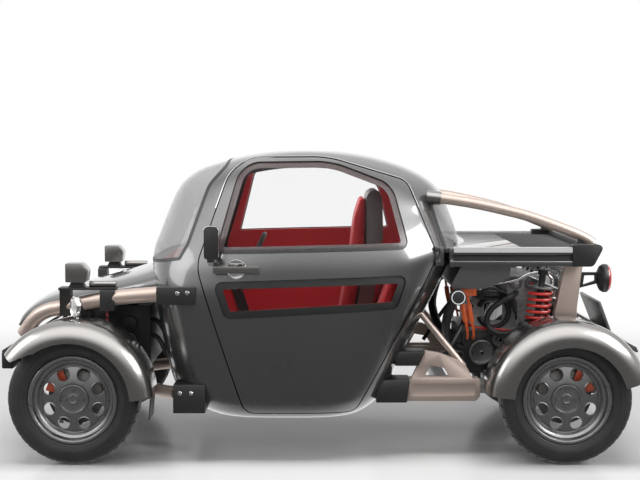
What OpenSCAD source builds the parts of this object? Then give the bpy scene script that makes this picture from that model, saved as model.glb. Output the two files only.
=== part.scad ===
// Small open-wheel car: a capsule cabin carried by tube rails, with the engine in the open behind it.
// Front towards -X, left side towards -Y, up +Z, ground at Z 0, origin midway between the axles.

/* [Wheels] */
// Distance between the axles
wheel_base = 2580; // [2520:10:2640]
// Distance between the mid-planes of two wheels on an axle
track = 1400; // [1380:5:1410]
// Tyre outside diameter
tyre_d = 690; // [670:5:700]
// Tyre width
tyre_w = 195; // [175:5:200]
// Rim bead diameter
bead_d = 432; // [420:1:440]
// Round holes in a wheel disc
wheel_holes = 8; // [5:1:12]
// Diameter of those holes
wheel_hole_d = 64; // [50:1:70]
// Spindle diameter in the hub
spindle_d = 60; // [50:1:70]
// Radial clearance of a turning fit
run_clear = 0.05; // [0.02:0.01:0.1]
// Brake disc diameter
disc_d = 290; // [260:5:310]
// Kingpin distance inboard of the wheel mid-plane
kingpin_in = 80; // [70:5:90]

/* [Cabin] */
// Height of the roof crown
roof_z = 1645; // [1600:5:1680]
// Whole thickness of the cabin wall
wall = 60; // [50:1:70]
// Thickness of a door's outer skin
skin = 8; // [6:0.5:9]
// Gap round a door
door_gap = 8; // [6:0.5:10]
// How far the inner box of a door stays inside its skin edge
door_inset = 30; // [25:1:40]
// Glass thickness
glass_t = 5; // [4:0.5:6]
// Hinge pin diameter
hinge_pin_d = 10; // [8:1:12]
// Seating gap between fixed pieces
seat_gap = 0.3; // [0.2:0.05:0.5]

/* [Frame] */
// Diameter of the upper front rails
rail_d = 80; // [70:1:90]
// Diameter of the lower front rails
low_rail_d = 70; // [60:1:76]
// Diameter of the bars from the roof to the deck
bar_d = 56; // [48:1:62]
// Height of the deck's top face
deck_z = 1130; // [1120:1:1140]
// Height of a deck rail
deck_rail_h = 98; // [90:1:110]
// Sheet thickness of the fenders
fender_t = 5; // [4:0.5:6]
// Fender crown radius about the axle
fender_r = 424; // [410:1:430]
// Overall width over the fenders
body_w = 1800; // [1780:5:1820]

/* [Springs] */
// Coil wire diameter
wire_d = 17; // [14:1:18]
// Coil mean diameter
coil_d = 118; // [110:1:124]
// Turns of a coil
coil_turns = 5; // [4:0.5:6]

/* [Hidden] */
$fn = 48;
fx = -wheel_base / 2;
rx = wheel_base / 2;
axle_z = tyre_d / 2;
wy = track / 2;
ky = wy - kingpin_in;
// Places across the car that follow the kingpins
arm_y = ky - 180;
rail_y = ky - 244;
strut_y = ky - 130;
frame_out = ky - 100;
frame_in = ky - 180;
beam_out = ky - 16;
rear_strut_y = frame_in + 40;
eps = 0.01;
BODY = "#55585c";
CHAMPAGNE = "#a58a70";
BLACK = "#161617";
STEEL = "#9a9da1";
CHROME = "#d5d8dc";
RED = "#a3141c";
GLASS = "#b9c4c8";

// Cabin sections from the floor to the crown
Z = 0;
FRONT = 1;
REAR = 2;
HALF = 3;
ROUND = 4;
CABIN = [
  [215, -540, 200, 600, 3.6],
  [235, -620, 255, 680, 4.0],
  [290, -712, 322, 740, 4.3],
  [380, -800, 385, 780, 4.5],
  [600, -860, 490, 815, 4.5],
  [850, -905, 620, 828, 4.4],
  [1000, -928, 705, 815, 3.8],
  [1100, -932, 775, 796, 3.3],
  [1200, -900, 770, 766, 3.0],
  [1300, -864, 735, 728, 2.8],
  [1400, -822, 692, 682, 2.7],
  [1480, -768, 615, 636, 2.6],
  [1545, -672, 498, 580, 2.5],
  [1590, -530, 370, 515, 2.4],
  [1620, -400, 245, 425, 2.3],
  [1638, -270, 115, 300, 2.2],
  [roof_z, -130, -20, 120, 2.0]
];
RING_N = 28;
CABIN_MID = [-100, 0, 930];
CABIN_HALF = [830, 828, 715];

// Corner outlines in side view, each row an X, a Z and a corner radius
DOOR = [
  [-455, 1602, 190], [-640, 1046, 170], [-390, 264, 60], [182, 264, 60],
  [619, 1086, 100], [463, 1479, 80], [40, 1606, 500]
];
WINDOW = [
  [-420, 1582, 130], [-548, 1105, 30], [470, 1128, 45], [385, 1465, 130], [60, 1588, 400]
];
LOW_WINDOW = [[-556, 965, 40], [-492, 772, 40], [400, 822, 40], [462, 998, 40]];
WINDSCREEN = [
  [-1100, 1036, 1], [-940, 1036, 60], [-735, 1072, 12], [-690, 1150, 60], [-588, 1456, 120],
  [-500, 1560, 60], [-470, 1800, 1], [-1100, 1800, 1]
];
REAR_WINDOW = [[668, 1090, 30], [585, 1366, 25], [1000, 1366, 1], [1000, 1090, 1]];

hinge_x = 616;
hinge_z = 1086;
hinge_y = 650;
hinge_clear = 6;
door_in = 440;
front_split = -385;
floor_split = 175;
roof_split = 440;

function unit(v) = v / norm(v);
function at(v, i) = [v[i][0], v[i][1]];
function wrap(i, n) = (i + n) % n;
function turn(d) = ((d + 540) % 360) - 180;
function corner(a, p, b, r, n) =
  let (u = unit(a - p), v = unit(b - p), h = acos(u * v) / 2)
  let (c = p + unit(u + v) * r / sin(h), s = p + u * r / tan(h) - c, e = p + v * r / tan(h) - c)
  let (a0 = atan2(s[1], s[0]), d = turn(atan2(e[1], e[0]) - a0))
  [for (k = [0:n]) c + r * [cos(a0 + d * k / n), sin(a0 + d * k / n)]];
function outline(v, n = 3) =
  [for (i = [0:len(v) - 1])
    each corner(at(v, wrap(i - 1, len(v))), at(v, i), at(v, wrap(i + 1, len(v))), v[i][2], n)];
function col(k) = [for (r = CABIN) [r[Z], r[k]]];
function skin_y(x, z) =
  let (f = lookup(z, col(FRONT)), b = lookup(z, col(REAR)), n = lookup(z, col(ROUND)))
  let (u = min(1, abs(x - (f + b) / 2) / ((b - f) / 2)))
  lookup(z, col(HALF)) * pow(1 - pow(u, n), 1 / n);
function power(v, e) = sign(v) * pow(abs(v), e);
function inset(p, t) =
  [for (k = [0:2]) CABIN_MID[k] + (p[k] - CABIN_MID[k]) * (1 - t / CABIN_HALF[k])];
function ring(row, t) =
  let (m = (row[FRONT] + row[REAR]) / 2, l = (row[REAR] - row[FRONT]) / 2, e = 2 / row[ROUND])
  [for (j = [0:RING_N - 1])
    let (a = 360 * j / RING_N)
    inset([m + l * power(cos(a), e), row[HALF] * power(sin(a), e), row[Z]], t)];

// A smooth curve through hand-placed points
function spline(a, b, c, d, t) =
  0.5 * (2 * b + (c - a) * t + (2 * a - 5 * b + 4 * c - d) * t * t
    + (3 * b - a - 3 * c + d) * t * t * t);
function curve(p, n = 3) =
  let (m = len(p) - 1)
  concat(
    [for (i = [0:m - 1]) for (k = [0:n - 1])
      spline(p[max(0, i - 1)], p[i], p[i + 1], p[min(m, i + 2)], k / n)],
    [p[m]]);
function helix(r, h, turns, n) =
  [for (k = [0:turns * n]) [r * cos(360 * k / n), r * sin(360 * k / n), h * k / (turns * n)]];

module both_sides() {
  children();
  mirror([0, 1, 0]) children();
}
module side(s) {
  if (s < 0) children();
  else mirror([0, 1, 0]) children();
}
// A side-view outline carried across from one Y to another
module across(y0, y1) translate([0, y1, 0]) rotate([90, 0, 0]) linear_extrude(y1 - y0) children();
module box(a, b) translate(a) cube(b - a);
module rod(a, b, r) {
  d = b - a;
  translate(a)
    rotate([0, acos(d[2] / norm(d)), atan2(d[1], d[0])])
      cylinder(h = norm(d), r = r);
}
module tube(path, r, ref = [0, 1, 0], n = 10) {
  m = len(path);
  pts = [for (i = [0:m - 1])
    let (t = unit(path[min(m - 1, i + 1)] - path[max(0, i - 1)]))
    let (u = unit(cross(ref, t)), v = cross(t, u))
    for (j = [0:n - 1]) path[i] + r * (cos(360 * j / n) * u + sin(360 * j / n) * v)];
  polyhedron(pts, concat(
    [[for (j = [0:n - 1]) j]],
    [[for (j = [0:n - 1]) m * n - 1 - j]],
    [for (i = [0:m - 2]) for (j = [0:n - 1])
      [i * n + j, (i + 1) * n + j, (i + 1) * n + (j + 1) % n]],
    [for (i = [0:m - 2]) for (j = [0:n - 1])
      [i * n + j, (i + 1) * n + (j + 1) % n, i * n + (j + 1) % n]]
  ), convexity = 8);
}
module span(p, q) {
  n = len(p);
  hull()
    polyhedron(concat(p, q), [[for (j = [0:n - 1]) j], [for (j = [0:n - 1]) 2 * n - 1 - j]]);
}
module cabin(t) {
  for (i = [0:len(CABIN) - 2]) span(ring(CABIN[i], t), ring(CABIN[i + 1], t));
}
module layer(t0, t1) difference() {
  cabin(t0);
  cabin(t1);
}
module door_side(grow, s) side(s) across(-1000, -door_in) offset(delta = grow) polygon(outline(DOOR));
module panes(grow) {
  offset(delta = grow) polygon(outline(WINDOW));
  offset(delta = grow) polygon(outline(LOW_WINDOW));
}

// Cabin wall with its door, screen and rear window openings
module cabin_wall() difference() {
  layer(0, wall);
  door_side(door_gap, -1);
  door_side(door_gap, 1);
  across(-1000, 1000) polygon(outline(WINDSCREEN));
  across(-1000, 1000) polygon(outline(REAR_WINDOW));
  both_sides() hinge_seat(seat_gap);
}
module hinge_knuckle(g)
  translate([hinge_x, -hinge_y, hinge_z - 50 - g]) cylinder(h = 100 + 2 * g, r = 11 + g);
module hinge_seat(g) {
  y = hinge_y;
  box([hinge_x + 10 - g, -y + 6 - g, hinge_z - 50 - g], [hinge_x + 38 + g, -y + 80 + g, hinge_z + 50 + g]);
  hinge_knuckle(hinge_clear);
  box([hinge_x - 20, -y, hinge_z - 30], [hinge_x + 6, -y + 30, hinge_z + 30]);
}
module body_front() color(BODY) intersection() {
  cabin_wall();
  box([-2000, -1000, 0], [front_split - seat_gap, 1000, 2000]);
}
module body_floor() color(BODY) intersection() {
  cabin_wall();
  box([front_split, -1000, 0], [floor_split, 1000, CABIN_MID[2]]);
}
module body_roof() color(BODY) intersection() {
  cabin_wall();
  box([front_split, -1000, CABIN_MID[2]], [roof_split, 1000, 2000]);
}
module body_rear() color(BODY) intersection() {
  cabin_wall();
  union() {
    box([floor_split + seat_gap, -1000, 0], [1000, 1000, CABIN_MID[2]]);
    box([roof_split + seat_gap, -1000, CABIN_MID[2] - eps], [1000, 1000, 2000]);
  }
}
module windscreen() color(GLASS) intersection() {
  layer(1.5, 1.5 + glass_t);
  across(-1000, 1000) offset(delta = -seat_gap) polygon(outline(WINDSCREEN));
}
module rear_window() color(GLASS) intersection() {
  layer(1.5, 1.5 + glass_t);
  across(-1000, 1000) offset(delta = -seat_gap) polygon(outline(REAR_WINDOW));
}

// Doors, hinged at their rear edge
module door(s) color(BODY) difference() {
  union() {
    intersection() {
      layer(0, skin + eps);
      door_side(0, s);
    }
    intersection() {
      layer(skin, wall);
      door_side(-door_inset, s);
    }
  }
  side(s) across(-1000, -door_in) panes(0);
  side(s) eye_form(seat_gap);
  side(s) hinge_knuckle(hinge_clear);
  side(s) handle_bowl();
}
module door_left() door(-1);
module door_right() door(1);
module glass(s) color(GLASS) intersection() {
  layer(1.5, 1.5 + glass_t);
  side(s) across(-1000, -door_in) panes(-seat_gap);
}
module door_glass_left() glass(-1);
module door_glass_right() glass(1);

// Handle, mirror and hinge leaf of a door
handle_x = -432;
handle_z = 1030;
module handle_bowl() {
  y = skin_y(handle_x, handle_z);
  translate([handle_x, -y + 16, handle_z]) rotate([90, 0, 0]) cylinder(h = 60, r = 52);
}
module handle() {
  y = skin_y(handle_x, handle_z);
  difference() {
    translate([handle_x, -y + 16, handle_z]) rotate([90, 0, 0]) cylinder(h = 18, r = 52 - seat_gap);
    translate([handle_x, -y + 10, handle_z]) rotate([90, 0, 0]) cylinder(h = 18, r = 46);
  }
  bar_y = skin_y(handle_x + 118, handle_z) + 8;
  for (x = [-36, 36])
    translate([handle_x + x, -y + 11, handle_z]) rotate([90, 0, 0]) cylinder(h = bar_y - y + 20, r = 8);
  box([handle_x - 118, -bar_y - 16, handle_z - 18], [handle_x + 118, -bar_y, handle_z + 18]);
}
mirror_x = -552;
mirror_z = 1150;
module mirror_head() {
  y = skin_y(mirror_x, mirror_z);
  across(-y - 120, -y - 46)
    polygon(outline([
      [mirror_x - 42, mirror_z - 62, 14], [mirror_x + 34, mirror_z - 62, 14],
      [mirror_x + 34, mirror_z + 108, 22], [mirror_x - 42, mirror_z + 108, 22]
    ]));
  box([mirror_x - 26, -y - 120, mirror_z - 80], [mirror_x + 14, -y - 22, mirror_z - 62]);
  box([mirror_x - 26, -y - 42, mirror_z - 100], [mirror_x + 14, -y - 22, mirror_z - 62]);
}
module hinge_leaf(g) {
  y = hinge_y;
  box([hinge_x - 92 - g, -y + 6 - g, hinge_z - 22 - g], [hinge_x - 6, -y + 22 + g, hinge_z + 22 + g]);
}
module eye_form(g) {
  y = hinge_y;
  hinge_leaf(g);
  translate([hinge_x, -y, hinge_z - 22 - g]) cylinder(h = 44 + 2 * g, r = 11 + g);
  box([hinge_x - 12 - g, -y - g, hinge_z - 22 - g], [hinge_x, -y + 20 + g, hinge_z + 22 + g]);
}
module hinge_eye() difference() {
  eye_form(0);
  translate([hinge_x, -hinge_y, hinge_z - 30]) cylinder(h = 60, r = hinge_pin_d / 2 + run_clear);
}
module fittings(s) color(CHROME) side(s) {
  handle();
  hinge_eye();
}
module door_fittings_left() fittings(-1);
module door_fittings_right() fittings(1);
module mirror_node(s) color(BLACK) difference() {
  side(s) mirror_head();
  cabin(-seat_gap);
}
module mirror_left() mirror_node(-1);
module mirror_right() mirror_node(1);
module door_hinges() color(STEEL) both_sides() {
  box([hinge_x + 10, -hinge_y + 6, hinge_z - 50], [hinge_x + 38, -hinge_y + 80, hinge_z + 50]);
  translate([hinge_x, -hinge_y, hinge_z - 50]) cylinder(h = 100, r = hinge_pin_d / 2);
  for (z = [-50, 23]) {
    translate([hinge_x, -hinge_y, hinge_z + z]) cylinder(h = 27, r = 11);
    box([hinge_x, -hinge_y + 1, hinge_z + z], [hinge_x + 20, -hinge_y + 11, hinge_z + z + 27]);
  }
}

// Wheels, built about their own axle with the outside towards local +Z
module wheel_at(x, s) side(s) translate([x, -wy, axle_z]) rotate([90, 0, 0]) children();
module rim_shape() {
  b = bead_d / 2;
  difference() {
    rotate_extrude($fn = 96)
      polygon([
        [0, 72], [70, 72], [76, 66], [84, 62], [110, 56], [172, 44], [186, 44], [196, 58],
        [205, 62], [210, 84], [b + 10, 92], [b + 17, 88], [b + 17, 82], [b, 78], [b, 60],
        [b - 10, 46], [b - 10, -50], [b, -64], [b, -84], [b + 15, -88], [b + 15, -94],
        [b, -94], [b - 12, -86], [b - 20, -50], [b - 20, 20], [190, 34], [172, 34],
        [110, 44], [84, 46], [84, 20], [0, 20]
      ]);
    for (k = [0:wheel_holes - 1])
      rotate([0, 0, 360 / wheel_holes * (k + 0.5)]) translate([138, 0, 0])
        cylinder(h = 100, d = wheel_hole_d);
    translate([0, 0, 10]) cylinder(h = 45, d = spindle_d + 2 * run_clear);
    rotate_extrude() polygon([[58, 73], [66, 73], [66, 68], [58, 68]]);
  }
  rotate_extrude($fn = 96)
    polygon([
      [34, 8], [84, 8], [84, -12], [disc_d / 2, -12], [disc_d / 2, -34],
      [74, -34], [74, -4], [34, -4]
    ]);
  rotate_extrude() polygon([[36, 8 - eps], [80, 8 - eps], [80, 20 + eps], [36, 20 + eps]]);
}
module rim(x, s) color(CHROME) wheel_at(x, s) rim_shape();
module rim_fl() rim(fx, -1);
module rim_fr() rim(fx, 1);
module rim_rl() rim(rx, -1);
module rim_rr() rim(rx, 1);
module tyre(x, s) color(BLACK) wheel_at(x, s) {
  b = bead_d / 2 + seat_gap;
  r = tyre_d / 2;
  h = tyre_w / 2;
  rotate_extrude($fn = 96)
    polygon([
      [b, -81], [b, -66], [b + 20, -76], [r - 40, -84], [r - 18, -76], [r - 14, 0], [r - 18, 76],
      [r - 40, 84], [b + 20, 76], [b, 64], [b, 77], [b + 17, 81.5], [b + 22, 88], [b + 40, h - 3],
      [b + 60, h], [r - 40, h - 4], [r - 18, h - 12], [r - 6, h - 24], [r, h - 42], [r, 42 - h],
      [r - 6, 24 - h], [r - 18, 12 - h], [r - 40, 4 - h], [b + 60, -h], [b + 40, 3 - h],
      [b + 22, -92], [b + 16, -87.5]
    ]);
}
module tyre_fl() tyre(fx, -1);
module tyre_fr() tyre(fx, 1);
module tyre_rl() tyre(rx, -1);
module tyre_rr() tyre(rx, 1);

// Hub carrier with its spindle and brake caliper, local frame as for a wheel
module caliper(a) {
  rotate([0, 0, a]) difference() {
    rotate([0, 0, -26])
      rotate_extrude(angle = 52)
        polygon([[96, -58], [158, -58], [158, 14], [100, 14], [100, -6], [150, -6], [150, -39], [96, -39]]);
    for (k = [-14, 14]) rotate([0, 0, k]) translate([122, 0, -70]) cylinder(h = 18, r = 15);
  }
  rotate([0, 0, a]) translate([40, -20, -82]) cube([90, 40, 26]);
}
upright_h = 131.7;
module hub_carrier(a) {
  translate([0, 0, -62]) cylinder(h = 116, d = spindle_d);
  translate([0, 0, -94]) cylinder(h = 34, r = 58);
  translate([-32, -upright_h, -100]) cube([64, 2 * upright_h, 40]);
  caliper(a);
}
module knuckle(s) color(STEEL) difference() {
  wheel_at(fx, s) {
    hub_carrier(140);
    translate([20, rack_z - axle_z - 34, -96]) cube([110, 16, 16]);
  }
  side(s) kingpins(run_clear);
}
// Upper and lower kingpins, which the knuckle turns on
module kingpins(g) for (h = [-148, 108])
  translate([fx, -ky, axle_z + h - g]) cylinder(h = 40 + 2 * g, r = 12 + g);
module knuckle_fl() knuckle(-1);
module knuckle_fr() knuckle(1);

// Front suspension arms and the steering rack
rack_z = 415;
strut_z = 222;
rack_x = fx + 175;
// Lower and upper end of the posts that carry the lower and the upper arms
ARM_POSTS = [[150, 330], [340, 508]];
module front_suspension() color(STEEL) {
  both_sides() difference() {
    union() {
      for (z = ARM_POSTS) for (x = [-130, 130])
        box([fx + x - 12, -arm_y - 8, z[0]], [fx + x + 12, -arm_y + 95, z[1]]);
      box([rack_x - 12, -rail_y - 20, 340], [rack_x + 12, -rail_y + 10, rack_z]);
    }
    low_rail_form(low_rail_d / 2 + seat_gap);
  }
  both_sides() {
    kingpins(0);
    for (h = [-148, 148]) {
      for (x = [-130, 130]) rod([fx + x, -arm_y, axle_z + h], [fx, -ky, axle_z + h], 15);
      translate([fx, -ky, axle_z + h - 16]) cylinder(h = 32, r = 24);
    }
    box([fx - 80, -strut_y - 45, axle_z - 155], [fx + 80, -strut_y + 15, strut_z]);
    rod([rack_x, -arm_y + 50, rack_z], [fx + 118, -ky + 45, rack_z], 11);
  }
  rod([rack_x, -arm_y + 40, rack_z], [rack_x, arm_y - 40, rack_z], 26);
}
coil_seat = wire_d / 2 * cos(30);
module coil(h) tube(helix(coil_d / 2, h, coil_turns, 9), wire_d / 2, [0, 0, 1], 6);
module strut(a, b, h0, h) {
  d = b - a;
  translate(a) rotate([0, acos(d[2] / norm(d)), atan2(d[1], d[0])]) {
    cylinder(h = h0, r = 30);
    translate([0, 0, h0 - 8]) cylinder(h = 8, r = 66);
    cylinder(h = norm(d), r = 18);
    translate([0, 0, h0 + h + 2 * coil_seat]) cylinder(h = 10, r = 66);
    translate([0, 0, norm(d) - 26]) cylinder(h = 26, r = 28);
  }
}
module strut_coil(a, b, h0, h) {
  d = b - a;
  translate(a) rotate([0, acos(d[2] / norm(d)), atan2(d[1], d[0])])
    translate([0, 0, h0 + coil_seat]) coil(h);
}
front_foot = [fx + 26, -strut_y, 212];
front_head = [fx + 26, -strut_y, 742];
// Straight saddle for the front rail, along one of the stretches of its curve
module rail_saddle(i, g) {
  c = curve(front_rail);
  d = unit(c[i + 1] - c[i]) * rail_d;
  rod(c[i] - d, c[i + 1] + d, rail_d / 2 + g);
}
module front_struts() color(BLACK) both_sides() difference() {
  union() {
    strut(front_foot, front_head, 318, 150);
    box([fx - 10, -strut_y - 62, 735], [fx + 62, -strut_y + 50, 800]);
    box([fx + 6, -590, 778], [fx + 46, -strut_y - 50, 815]);
  }
  box([fx - 100, -strut_y - 110, 100], [fx + 100, -strut_y + 90, strut_z + seat_gap]);
  rail_saddle(7, seat_gap);
}
module front_coils() color(RED) both_sides() strut_coil(front_foot, front_head, 318, 150);

// Fenders, turned about the axle, with the cross wing that joins each pair
fender_in = 145;
fender_round = 100;
fender_fall = 12;
wing_half = wy - fender_in + 3;
module fender_section(skirt) {
  o = body_w / 2 - wy;
  k = fender_round;
  t = fender_t;
  i = -fender_in;
  r = fender_r;
  polygon(concat(
    [[skirt, o]],
    [for (a = [90:-15:0]) [r - k + k * cos(a), o - k + k * sin(a)]],
    [[r - fender_fall, i], [r - 34, i], [r - 34, i + t], [r - fender_fall - t, i + t]],
    [for (a = [0:15:90]) [r - k + (k - t) * cos(a), o - k + (k - t) * sin(a)]],
    [[skirt, o - t]]
  ));
}
module front_fenders() color(CHAMPAGNE) {
  both_sides() difference() {
    wheel_at(fx, -1) rotate([0, 0, 3]) rotate_extrude(angle = 141, $fn = 96) fender_section(314);
    across(-1000, -wy - 100)
      polygon([[fx - 128, 632], [fx - 128, 300], [fx - 500, 300], [fx - 500, 490], [fx - 310, 556]]);
  }
  across(-wing_half, wing_half)
    polygon([
      [fx - 215, 678], [fx - 225, 690], [fx - 330, 626], [fx - 418, 572], [fx - 424, 560],
      [fx - 412, 562], [fx - 326, 614]
    ]);
}
module rear_fenders() color(CHAMPAGNE) {
  both_sides()
    wheel_at(rx, -1) rotate([0, 0, 16]) rotate_extrude(angle = 159, $fn = 96) fender_section(292);
  across(-wing_half, wing_half)
    polygon([
      [rx + 170, 706], [rx + 182, 716], [rx + 300, 646], [rx + 412, 588], [rx + 424, 560],
      [rx + 408, 558], [rx + 400, 580], [rx + 292, 634]
    ]);
}
module front_bumper() color(BLACK) {
  across(-wing_half, wing_half)
    polygon([
      [fx - 424, 470], [fx - 424, 559.7], [fx - 412, 561.7], [fx - 380, 578], [bumper_x, 556],
      [bumper_x, 470]
    ]);
}

// Upper front rails, lower rails and the blocks that clamp them to the cabin
clamp_x = -846;
front_rail = [
  [clamp_x, -700, 892], [fx + 290, -664, 876], [fx + 146, -625, 856], [fx - 85, -572, 806],
  [fx - 175, -550, 784], [fx - 240, -530, 744], [fx - 290, -512, 682], [fx - 318, -500, 642]
];
module front_rail_form(r) tube(curve(front_rail), r);
module front_rails() color(CHAMPAGNE) both_sides() difference() {
  front_rail_form(rail_d / 2);
  box([clamp_x - seat_gap, -900, 700], [clamp_x + 200, 0, 1100]);
  across(-1000, 0)
    polygon([
      [fx - 140, 742.2], [fx - 225, 690.4], [fx - 330, 626.4], [fx - 418, 572.4], [fx - 430, 400],
      [fx - 140, 400]
    ]);
}
bumper_x = fx - 362;
low_rail = [
  [-760, -600, 345], [-860, -(624 + rail_y) / 2, 340], [-940, -rail_y - 24, 335], [fx, -rail_y, 330],
  [fx - 390, -rail_y, 520]
];
module low_rail_form(r) tube(curve(low_rail), r);
module lower_rails() color(CHAMPAGNE) {
  both_sides() difference() {
    low_rail_form(low_rail_d / 2);
    box([-768 - seat_gap, -900, 200], [-600, 0, 600]);
    box([fx - 600, -900, 0], [bumper_x + seat_gap, 0, 1000]);
  }
  rod([fx - 200, -rail_y, 398], [fx - 200, rail_y, 398], 22);
  rod([fx + 250, -rail_y - 14, 332], [fx + 250, rail_y + 14, 332], 22);
}
module body_clamps() color(BLACK) difference() {
  both_sides() {
    box([clamp_x, -800, 846], [-646, -560, 938]);
    box([-768, -770, 272], [-600, -500, 420]);
    across(-beam_out - 36, -beam_out + 104) polygon([[400, 500], [400, 575], [560, 575], [524, 500]]);
    across(-beam_out - 46, -beam_out + 124) polygon([[300, 304], [300, 424], [478, 424], [462, 304]]);
  }
  cabin(-seat_gap);
}

// Hood shell from the cowl to the nose
X = 0;
WIDE = 1;
EDGE = 2;
CREST = 3;
HOOD = [
  [-800, 585, 905, 1052], [-935, 565, 892, 1002], [-1050, 520, 872, 966], [-1200, 470, 846, 924],
  [-1350, 425, 812, 886], [-1500, 385, 772, 846], [-1590, 350, 740, 804], [-1655, 305, 704, 748],
  [-1695, 240, 660, 690]
];
function arch(row, t) =
  [for (a = [0:12:180])
    [
      row[X],
      (row[WIDE] - t) * power(cos(a), 0.8),
      row[EDGE] + (row[CREST] - t - row[EDGE]) * power(sin(a), 0.6)
    ]];
module hood_form(t, dx) {
  for (i = [0:len(HOOD) - 2]) translate([dx, 0, 0]) span(arch(HOOD[i], t), arch(HOOD[i + 1], t));
}
module hood() color(BODY) difference() {
  hood_form(0, 0);
  translate([0, 0, -20]) hood_form(16, 20);
  cabin(-seat_gap);
}
// Each lamp tray stands on two clamps, rows of two corners and the stretch of the rail below
tray_z = 906;
clamp_gap = 1;
LAMP_CLAMPS = [
  [[-1384, -620, 764], [-1330, -530, tray_z], 8],
  [[-1160, -680, 800], [-1082, -590, tray_z], 5]
];
lamp_z = 948;
tray_t = 12;
LAMP = [[-1344, lamp_z, 6], [-1236, lamp_z, 6], [-1228, 1010, 30], [-1262, 1048, 30], [-1344, 1048, 6]];
module front_lamps() color(CHROME) both_sides() {
  for (c = LAMP_CLAMPS) difference() {
    box(c[0], c[1]);
    rail_saddle(c[2], clamp_gap);
  }
  box([-1384, -650, tray_z], [-1082, -560, tray_z + tray_t]);
  across(-660, -550) polygon(outline(LAMP));
  across(-630, -580) polygon([[-1340, tray_z], [-1240, tray_z], [-1262, lamp_z + 4], [-1318, lamp_z + 4]]);
  rod([-1226, -602, tray_z + tray_t + 16], [-1084, -602, tray_z + tray_t + 16], 17);
}
// Round side lamp that stands on each front fender and looks out to the front corner
pod_x = 24;
pod_y = body_w / 2 - 160;
pod_r = 58;
pod_turn = 62;
pod_fall = fender_fall * (body_w / 2 - pod_y - fender_round - 8)
  / (body_w / 2 - wy - fender_round + fender_in);
pod_foot = axle_z + sqrt(pow(fender_r - pod_fall, 2) - pod_x * pod_x) + seat_gap;
module fender_lamps() color(CHROME) both_sides() translate([fx + pod_x, -pod_y, pod_foot]) {
  translate([0, 0, pod_r + 6]) rotate([0, 0, -pod_turn]) rotate([90, 0, 0])
    rotate_extrude() polygon([
      [0, -24], [pod_r - 23, -20], [pod_r - 6, -8], [pod_r, 6], [pod_r, 20], [pod_r - 8, 24],
      [pod_r - 12, 18], [0, 18]
    ]);
  cylinder(h = 20, r = 8);
}

// Block of pumps and power electronics in the front bay
pack_half = arm_y - 140;
module power_pack() color(BLACK) {
  box([-1180, -pack_half, 445], [-945, pack_half, 780]);
  box([-1080, -200, 354.3], [-1000, 200, 445]);
  for (y = [70 - pack_half, -80, 80, pack_half - 70]) translate([-1060, y, 780]) cylinder(h = 40, r = 42);
  both_sides() for (z = [500, 590, 680])
    translate([-1060, -pack_half, z]) rotate([90, 0, 0]) cylinder(h = 34, r = 44);
}

// Rear side beams with their gusset plates, and the frame that carries the engine
module rear_beams() color(CHAMPAGNE) both_sides() {
  difference() {
    across(-beam_out, -frame_out)
      polygon([[478.3, 424], [850, 424], [858, 410], [858, 330], [836, 304], [462.3, 304]]);
    across(-beam_out - 46, -beam_out + 7) polygon([[500, 396], [830, 396], [830, 336], [496, 332]]);
  }
  difference() {
    across(-beam_out + 8, -beam_out + 44)
      polygon([[490, 423], [524.5, 500], [560.5, 575], [640, 562], [748, 520], [790, 480], [818, 423]]);
    across(-beam_out - 96, -beam_out + 104) polygon([[560, 436], [592, 494], [664, 482], [690, 436]]);
  }
  difference() {
    rod([540, -beam_out + 64, 770], [770, -beam_out + 64, 490], 17, $fn = 12);
    cabin(-seat_gap);
  }
  rod([770, -beam_out + 64, 490], [770, -beam_out + 42, 490], 17, $fn = 12);
}
module rear_subframe() color(STEEL) {
  both_sides() {
    box([640, -frame_out, 330], [1560, -frame_in, 400]);
    wheel_at(rx, -1) hub_carrier(40);
    for (h = [-96, 96]) for (x = [-90, 150])
      rod([rx + x, -frame_in - 30, 365 + h * 0.3], [rx + x * 0.12, -ky - 4, axle_z + h], 14);
    rod([rx, -200 - seat_gap, axle_z], [rx, -ky, axle_z], 22);
    across(-300, -270) polygon([[1500, 399], [1560, 399], [1560, 646.5], [1500, 681.9]]);
  }
  box([640, -frame_in, 330], [700, frame_in, 400]);
  box([1500, -frame_in, 330], [1560, frame_in, 400]);
}
rear_foot = [rx - 150, -rear_strut_y, 390];
rear_head = [rx - 80, -rear_strut_y, 1000];
module rear_struts() color(BLACK) both_sides() difference() {
  strut(rear_foot, rear_head, 330, 165);
  box([rx - 300, -rear_strut_y - 120, 300], [rx, -rear_strut_y + 80, 400 + seat_gap]);
}
module rear_coils() color(RED) both_sides() strut_coil(rear_foot, rear_head, 330, 165);

// Engine, in the open behind the cabin
module engine_block() color(STEEL) {
  box([800, -300, 400], [1120, 300, 640]);
  box([840, -250, 640], [1200, 250, 800]);
  translate([rx - 40, -200, 365]) rotate([-90, 0, 0]) cylinder(h = 400, r = 140);
  box([1100, -180, 410], [1300, 180, 560]);
  for (y = [-240:40:240]) box([790, y, 420], [801, y + 12, 620]);
  box([850, -262, 800], [1040, 262, 840]);
  for (y = [-200:80:200]) box([870, y - 20, 840], [1020, y + 20, 856]);
  box([1050, -250, 800], [1290, 250, 940]);
  both_sides() box([900, -frame_in + seat_gap, 345], [1000, -290, 430]);
}
module intake_pipes() color(CHROME) {
  for (y = [-210, -70, 70, 210])
    translate([1300, y, 940 + seat_gap]) rotate([-90, 0, 0]) rotate([0, 0, 180])
      rotate_extrude(angle = 180) translate([72, 0]) circle(r = 24);
  box([1330, -270, 860], [1410, 270, 940 + seat_gap]);
  box([1290 + seat_gap, -240, 820], [1340, 240, 870]);
}
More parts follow.
